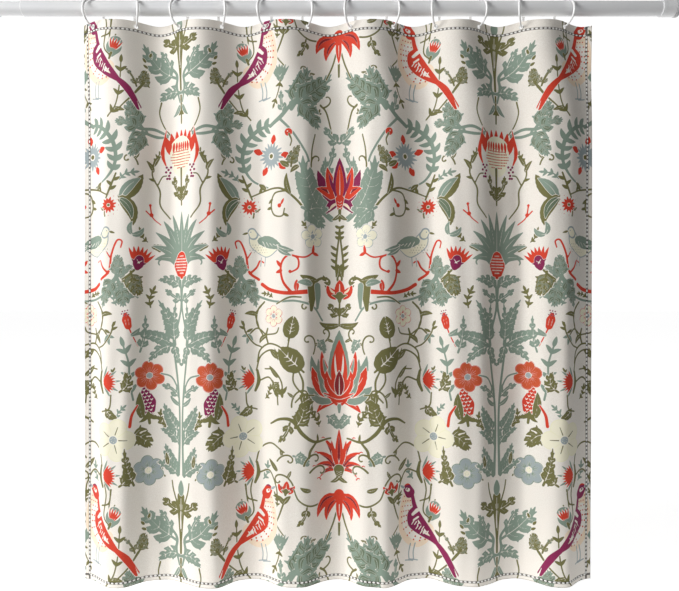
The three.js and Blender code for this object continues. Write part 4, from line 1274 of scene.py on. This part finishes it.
# ---------------------------------------------------------------- stitches
LAST_ROW, LAST_COLUMN = len(row_drop) - 1.001, len(column_x) - 1.001  # just inside the grid
STITCH_RINGS, STITCH_SIDES = 7, 8
along_stitch = np.cos(np.linspace(np.pi, 0, STITCH_RINGS + 2))[1:-1, None, None]
round_stitch = np.linspace(0, 2 * np.pi, STITCH_SIDES, endpoint=False)[:, None]
girth = np.maximum((1 - np.abs(along_stitch) ** 2.6) ** 0.5, 0.25)


def place_on_fabric(u, v):
    """The grid row and column, with fractions, of the points at u and v on the flat fabric."""
    row = np.clip(v / FLAT_HEIGHT * (len(row_drop) - 1), 0, LAST_ROW)
    rows, which = np.unique(row.astype(int), return_inverse=True)
    lines = along_fabric(row_drop[rows])
    col = np.array([np.interp(a, lines[k], np.arange(len(column_x))) for a, k in zip(u, which)])
    return row, np.clip(col, 0, LAST_COLUMN)


def stitch_centres():
    """Where each stitch is on the flat fabric, and whether it runs down the fabric."""
    left, right = STITCH_FROM_SIDE, FLAT_WIDTH - STITCH_FROM_SIDE
    top, low = STITCH_FROM_TOP, FLAT_HEIGHT - STITCH_FROM_BOTTOM
    found = []
    across = int((right - left) / STITCH_PITCH) + 1
    for k in range(across):
        u = left + (k + 0.5) * (right - left) / across
        found += [(u, top, 0), (u, low, 0)]
    downs = int((low - top) / STITCH_PITCH) + 1
    for k in range(downs):
        v = top + (k + 0.5) * (low - top) / downs
        found += [(left, v, 1), (right, v, 1)]
    return np.array(found)


stitches = stitch_centres()
stitch_row, stitch_column = place_on_fabric(stitches[:, 0], stitches[:, 1])
stitch_wobble = np.random.default_rng(7).uniform(-1, 1, (len(stitches), 3))


def stitch_piece(index):
    """The stitches on one piece of the fabric, a small pillow of thread on each face of it."""
    first, last = columns_of(index)
    mine = (stitch_column >= first) & (stitch_column < last)
    row, col, wobble = stitch_row[mine], stitch_column[mine], stitch_wobble[mine]
    down = sample(surface, np.minimum(row + 1, LAST_ROW), col) - sample(surface, np.maximum(row - 1, 0), col)
    across = sample(surface, row, np.minimum(col + 1, LAST_COLUMN)) - sample(surface, row, np.maximum(col - 1, 0))
    lean = wobble[:, :1] * 0.12
    half_long = STITCH_LENGTH / 2000 * (1 + 0.06 * wobble[:, 1:2])
    half_wide = STITCH_WIDTH / 2000 * (1 + 0.08 * wobble[:, 2:3])
    points = []
    for face, side, share in ((front, -1, 1), (back, 1, 0.7)):
        out = unit(sample(normal, row, col) * side)
        ahead = np.where(stitches[mine, 2:] > 0, down, across)
        ahead = unit(ahead - (ahead * out).sum(1)[:, None] * out)
        cross = np.cross(out, ahead)
        ahead, cross = ahead * np.cos(lean) + cross * np.sin(lean), cross * np.cos(lean) - ahead * np.sin(lean)
        middle = sample(face, row, col) + out * 0.00012
        middle, long, wide, high = (v[:, None, None] for v in (
            middle, ahead * half_long, cross * half_wide * share, out * half_wide * share * 0.42))
        pillow = middle + long * along_stitch
        points.append(pillow + girth * (wide * np.cos(round_stitch) + high * np.sin(round_stitch)))
    each = STITCH_RINGS * STITCH_SIDES
    one = np.vstack([grid_quads(STITCH_RINGS, STITCH_SIDES, wrap_columns=True)[:, ::-1],
                     cap_quads(STITCH_SIDES, 0, False), cap_quads(STITCH_SIDES, each - STITCH_SIDES, True)])
    quads = one + each * np.arange(2 * len(row))[:, None, None]
    return mesh_object(f"stitches_{index:02d}", np.vstack(points).reshape(-1, 3), quads.reshape(-1, 4), [thread])


# ---------------------------------------------------------------- eyelets
BORE, FLANGE = 0.006, 0.0088  # radii of an eyelet
EYELET_PROFILES = (
    rounded([(-0.0017, BORE + 0.0002), (-0.0019, FLANGE - 0.0012), (-0.0011, FLANGE), (-0.0006, FLANGE - 0.0002),
             (-0.0006, BORE + 0.0009), (0.0013, BORE + 0.0009), (0.0013, BORE), (-0.0009, BORE)], 0.0005),
    rounded([(0.0008, BORE + 0.0010), (0.0008, FLANGE - 0.0004), (0.0013, FLANGE - 0.0002),
             (0.0019, FLANGE - 0.0014), (0.0016, BORE + 0.0010)], 0.0004),
)


def eyelet_piece(number):
    """A two-part plastic eyelet: a flanged barrel, and the washer that it is snapped into behind."""
    (barrel, barrel_quads), (washer, washer_quads) = (revolve(profile, 44) for profile in EYELET_PROFILES)
    points = np.vstack([barrel, washer])
    x = ring_x[number - 1]
    s = float(slope_at(x, np.array(eyelet_drop)))
    out, side = unit(np.array([-s, 1.0, 0.0])), unit(np.array([1.0, s, 0.0]))
    placed = points @ np.array([out, side, [0, 0, 1]]) + [x, 0, eyelet_z]
    made = mesh_object(f"eyelet_ring_{number:02d}", placed, np.vstack([barrel_quads, washer_quads + len(barrel)]),
                       [eyelet_plastic])
    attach(made, f"fold_{number:02d}")
    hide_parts(f"eyelet_{number:02d}")
    return made


eyelets = [eyelet_piece(i) for i in range(1, RINGS + 1)]
for index in range(RINGS + 1):
    piece, width = fabric_piece(index)
    seams = stitch_piece(index)
    hang(piece, index)
    hang(seams, index)
    if index:
        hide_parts(f"cloth_{index:02d}")

# ---------------------------------------------------------------- camera, light and floor
camera_data = bpy.data.cameras.new("camera")
camera = bpy.data.objects.new("camera", camera_data)
scene.collection.objects.link(camera)
camera_data.sensor_width = 36
camera_data.lens = 31.45
camera_data.clip_start, camera_data.clip_end = 0.05, 60
camera.location = (-1.1126, -1.95, -0.943)
camera.rotation_euler = (math.radians(90), 0, 0)
scene.camera = camera
scene.view_settings.view_transform = "Standard"


def area_light(name, place, target, size, power):
    data = bpy.data.lights.new(name, "AREA")
    data.shape = "RECTANGLE"
    data.size, data.size_y = size
    data.energy = power
    light = bpy.data.objects.new(name, data)
    scene.collection.objects.link(light)
    light.location = place
    light.rotation_euler = (Vector(target) - Vector(place)).to_track_quat("-Z", "Y").to_euler()


area_light("key", (-7.2, -3.3, 2.2), (-1.1, 0, -0.95), (2.6, 2.6), 408)
area_light("fill", (-2.5, -2.1, -0.4), (-1.5, 0, -0.9), (1.4, 2.0), 17)


def studio_world():
    """White behind the curtain, and dark in front of it, more so to the right."""
    n = Nodes(bpy.data.worlds.new("studio"), "Background")
    sideways, depth, _ = n.split(n.add("ShaderNodeTexCoord").outputs["Generated"])
    front_light = n.ramp(sideways, -1.0, 1.0, 0.42, 0.04)
    return n.finish(Color=(1, 1, 1, 1), Strength=n.ramp(depth, 0.2, 0.78, front_light, 1.04, True))


scene.world = studio_world()


def floor_material():
    n = new_material("floor_with_painted_glow")
    place = n.add("ShaderNodeTexCoord").outputs["Object"]
    # The floor is grey in front, so that it throws less light up onto the fabric. Behind the curtain it is white and
    # glows: painted light that keeps it white in view and washes out the curtain's shadows on it.
    behind = n.ramp(n.split(place)[1], -1.0, 0.15, 0, 1, True)
    pale = n.mix(n.noise(1.5, 2), linear(118, 118, 118), linear(126, 126, 126))
    return n.finish(Base_Color=n.mix(behind, pale, linear(240, 240, 240)), Roughness=0.9, Specular_IOR_Level=0.2,
                    Emission_Color=(1, 1, 1, 1), Emission_Strength=n.math("MULTIPLY", behind, 0.62))


FLOOR_HALF, FLOOR_Z = 40, -1.99
corners = [(x * FLOOR_HALF, y * FLOOR_HALF, FLOOR_Z) for x, y in ((-1, -1), (1, -1), (1, 1), (-1, 1))]
floor = mesh_object("floor", corners, [(0, 1, 2, 3)], [floor_material()], flat_shaded=True)
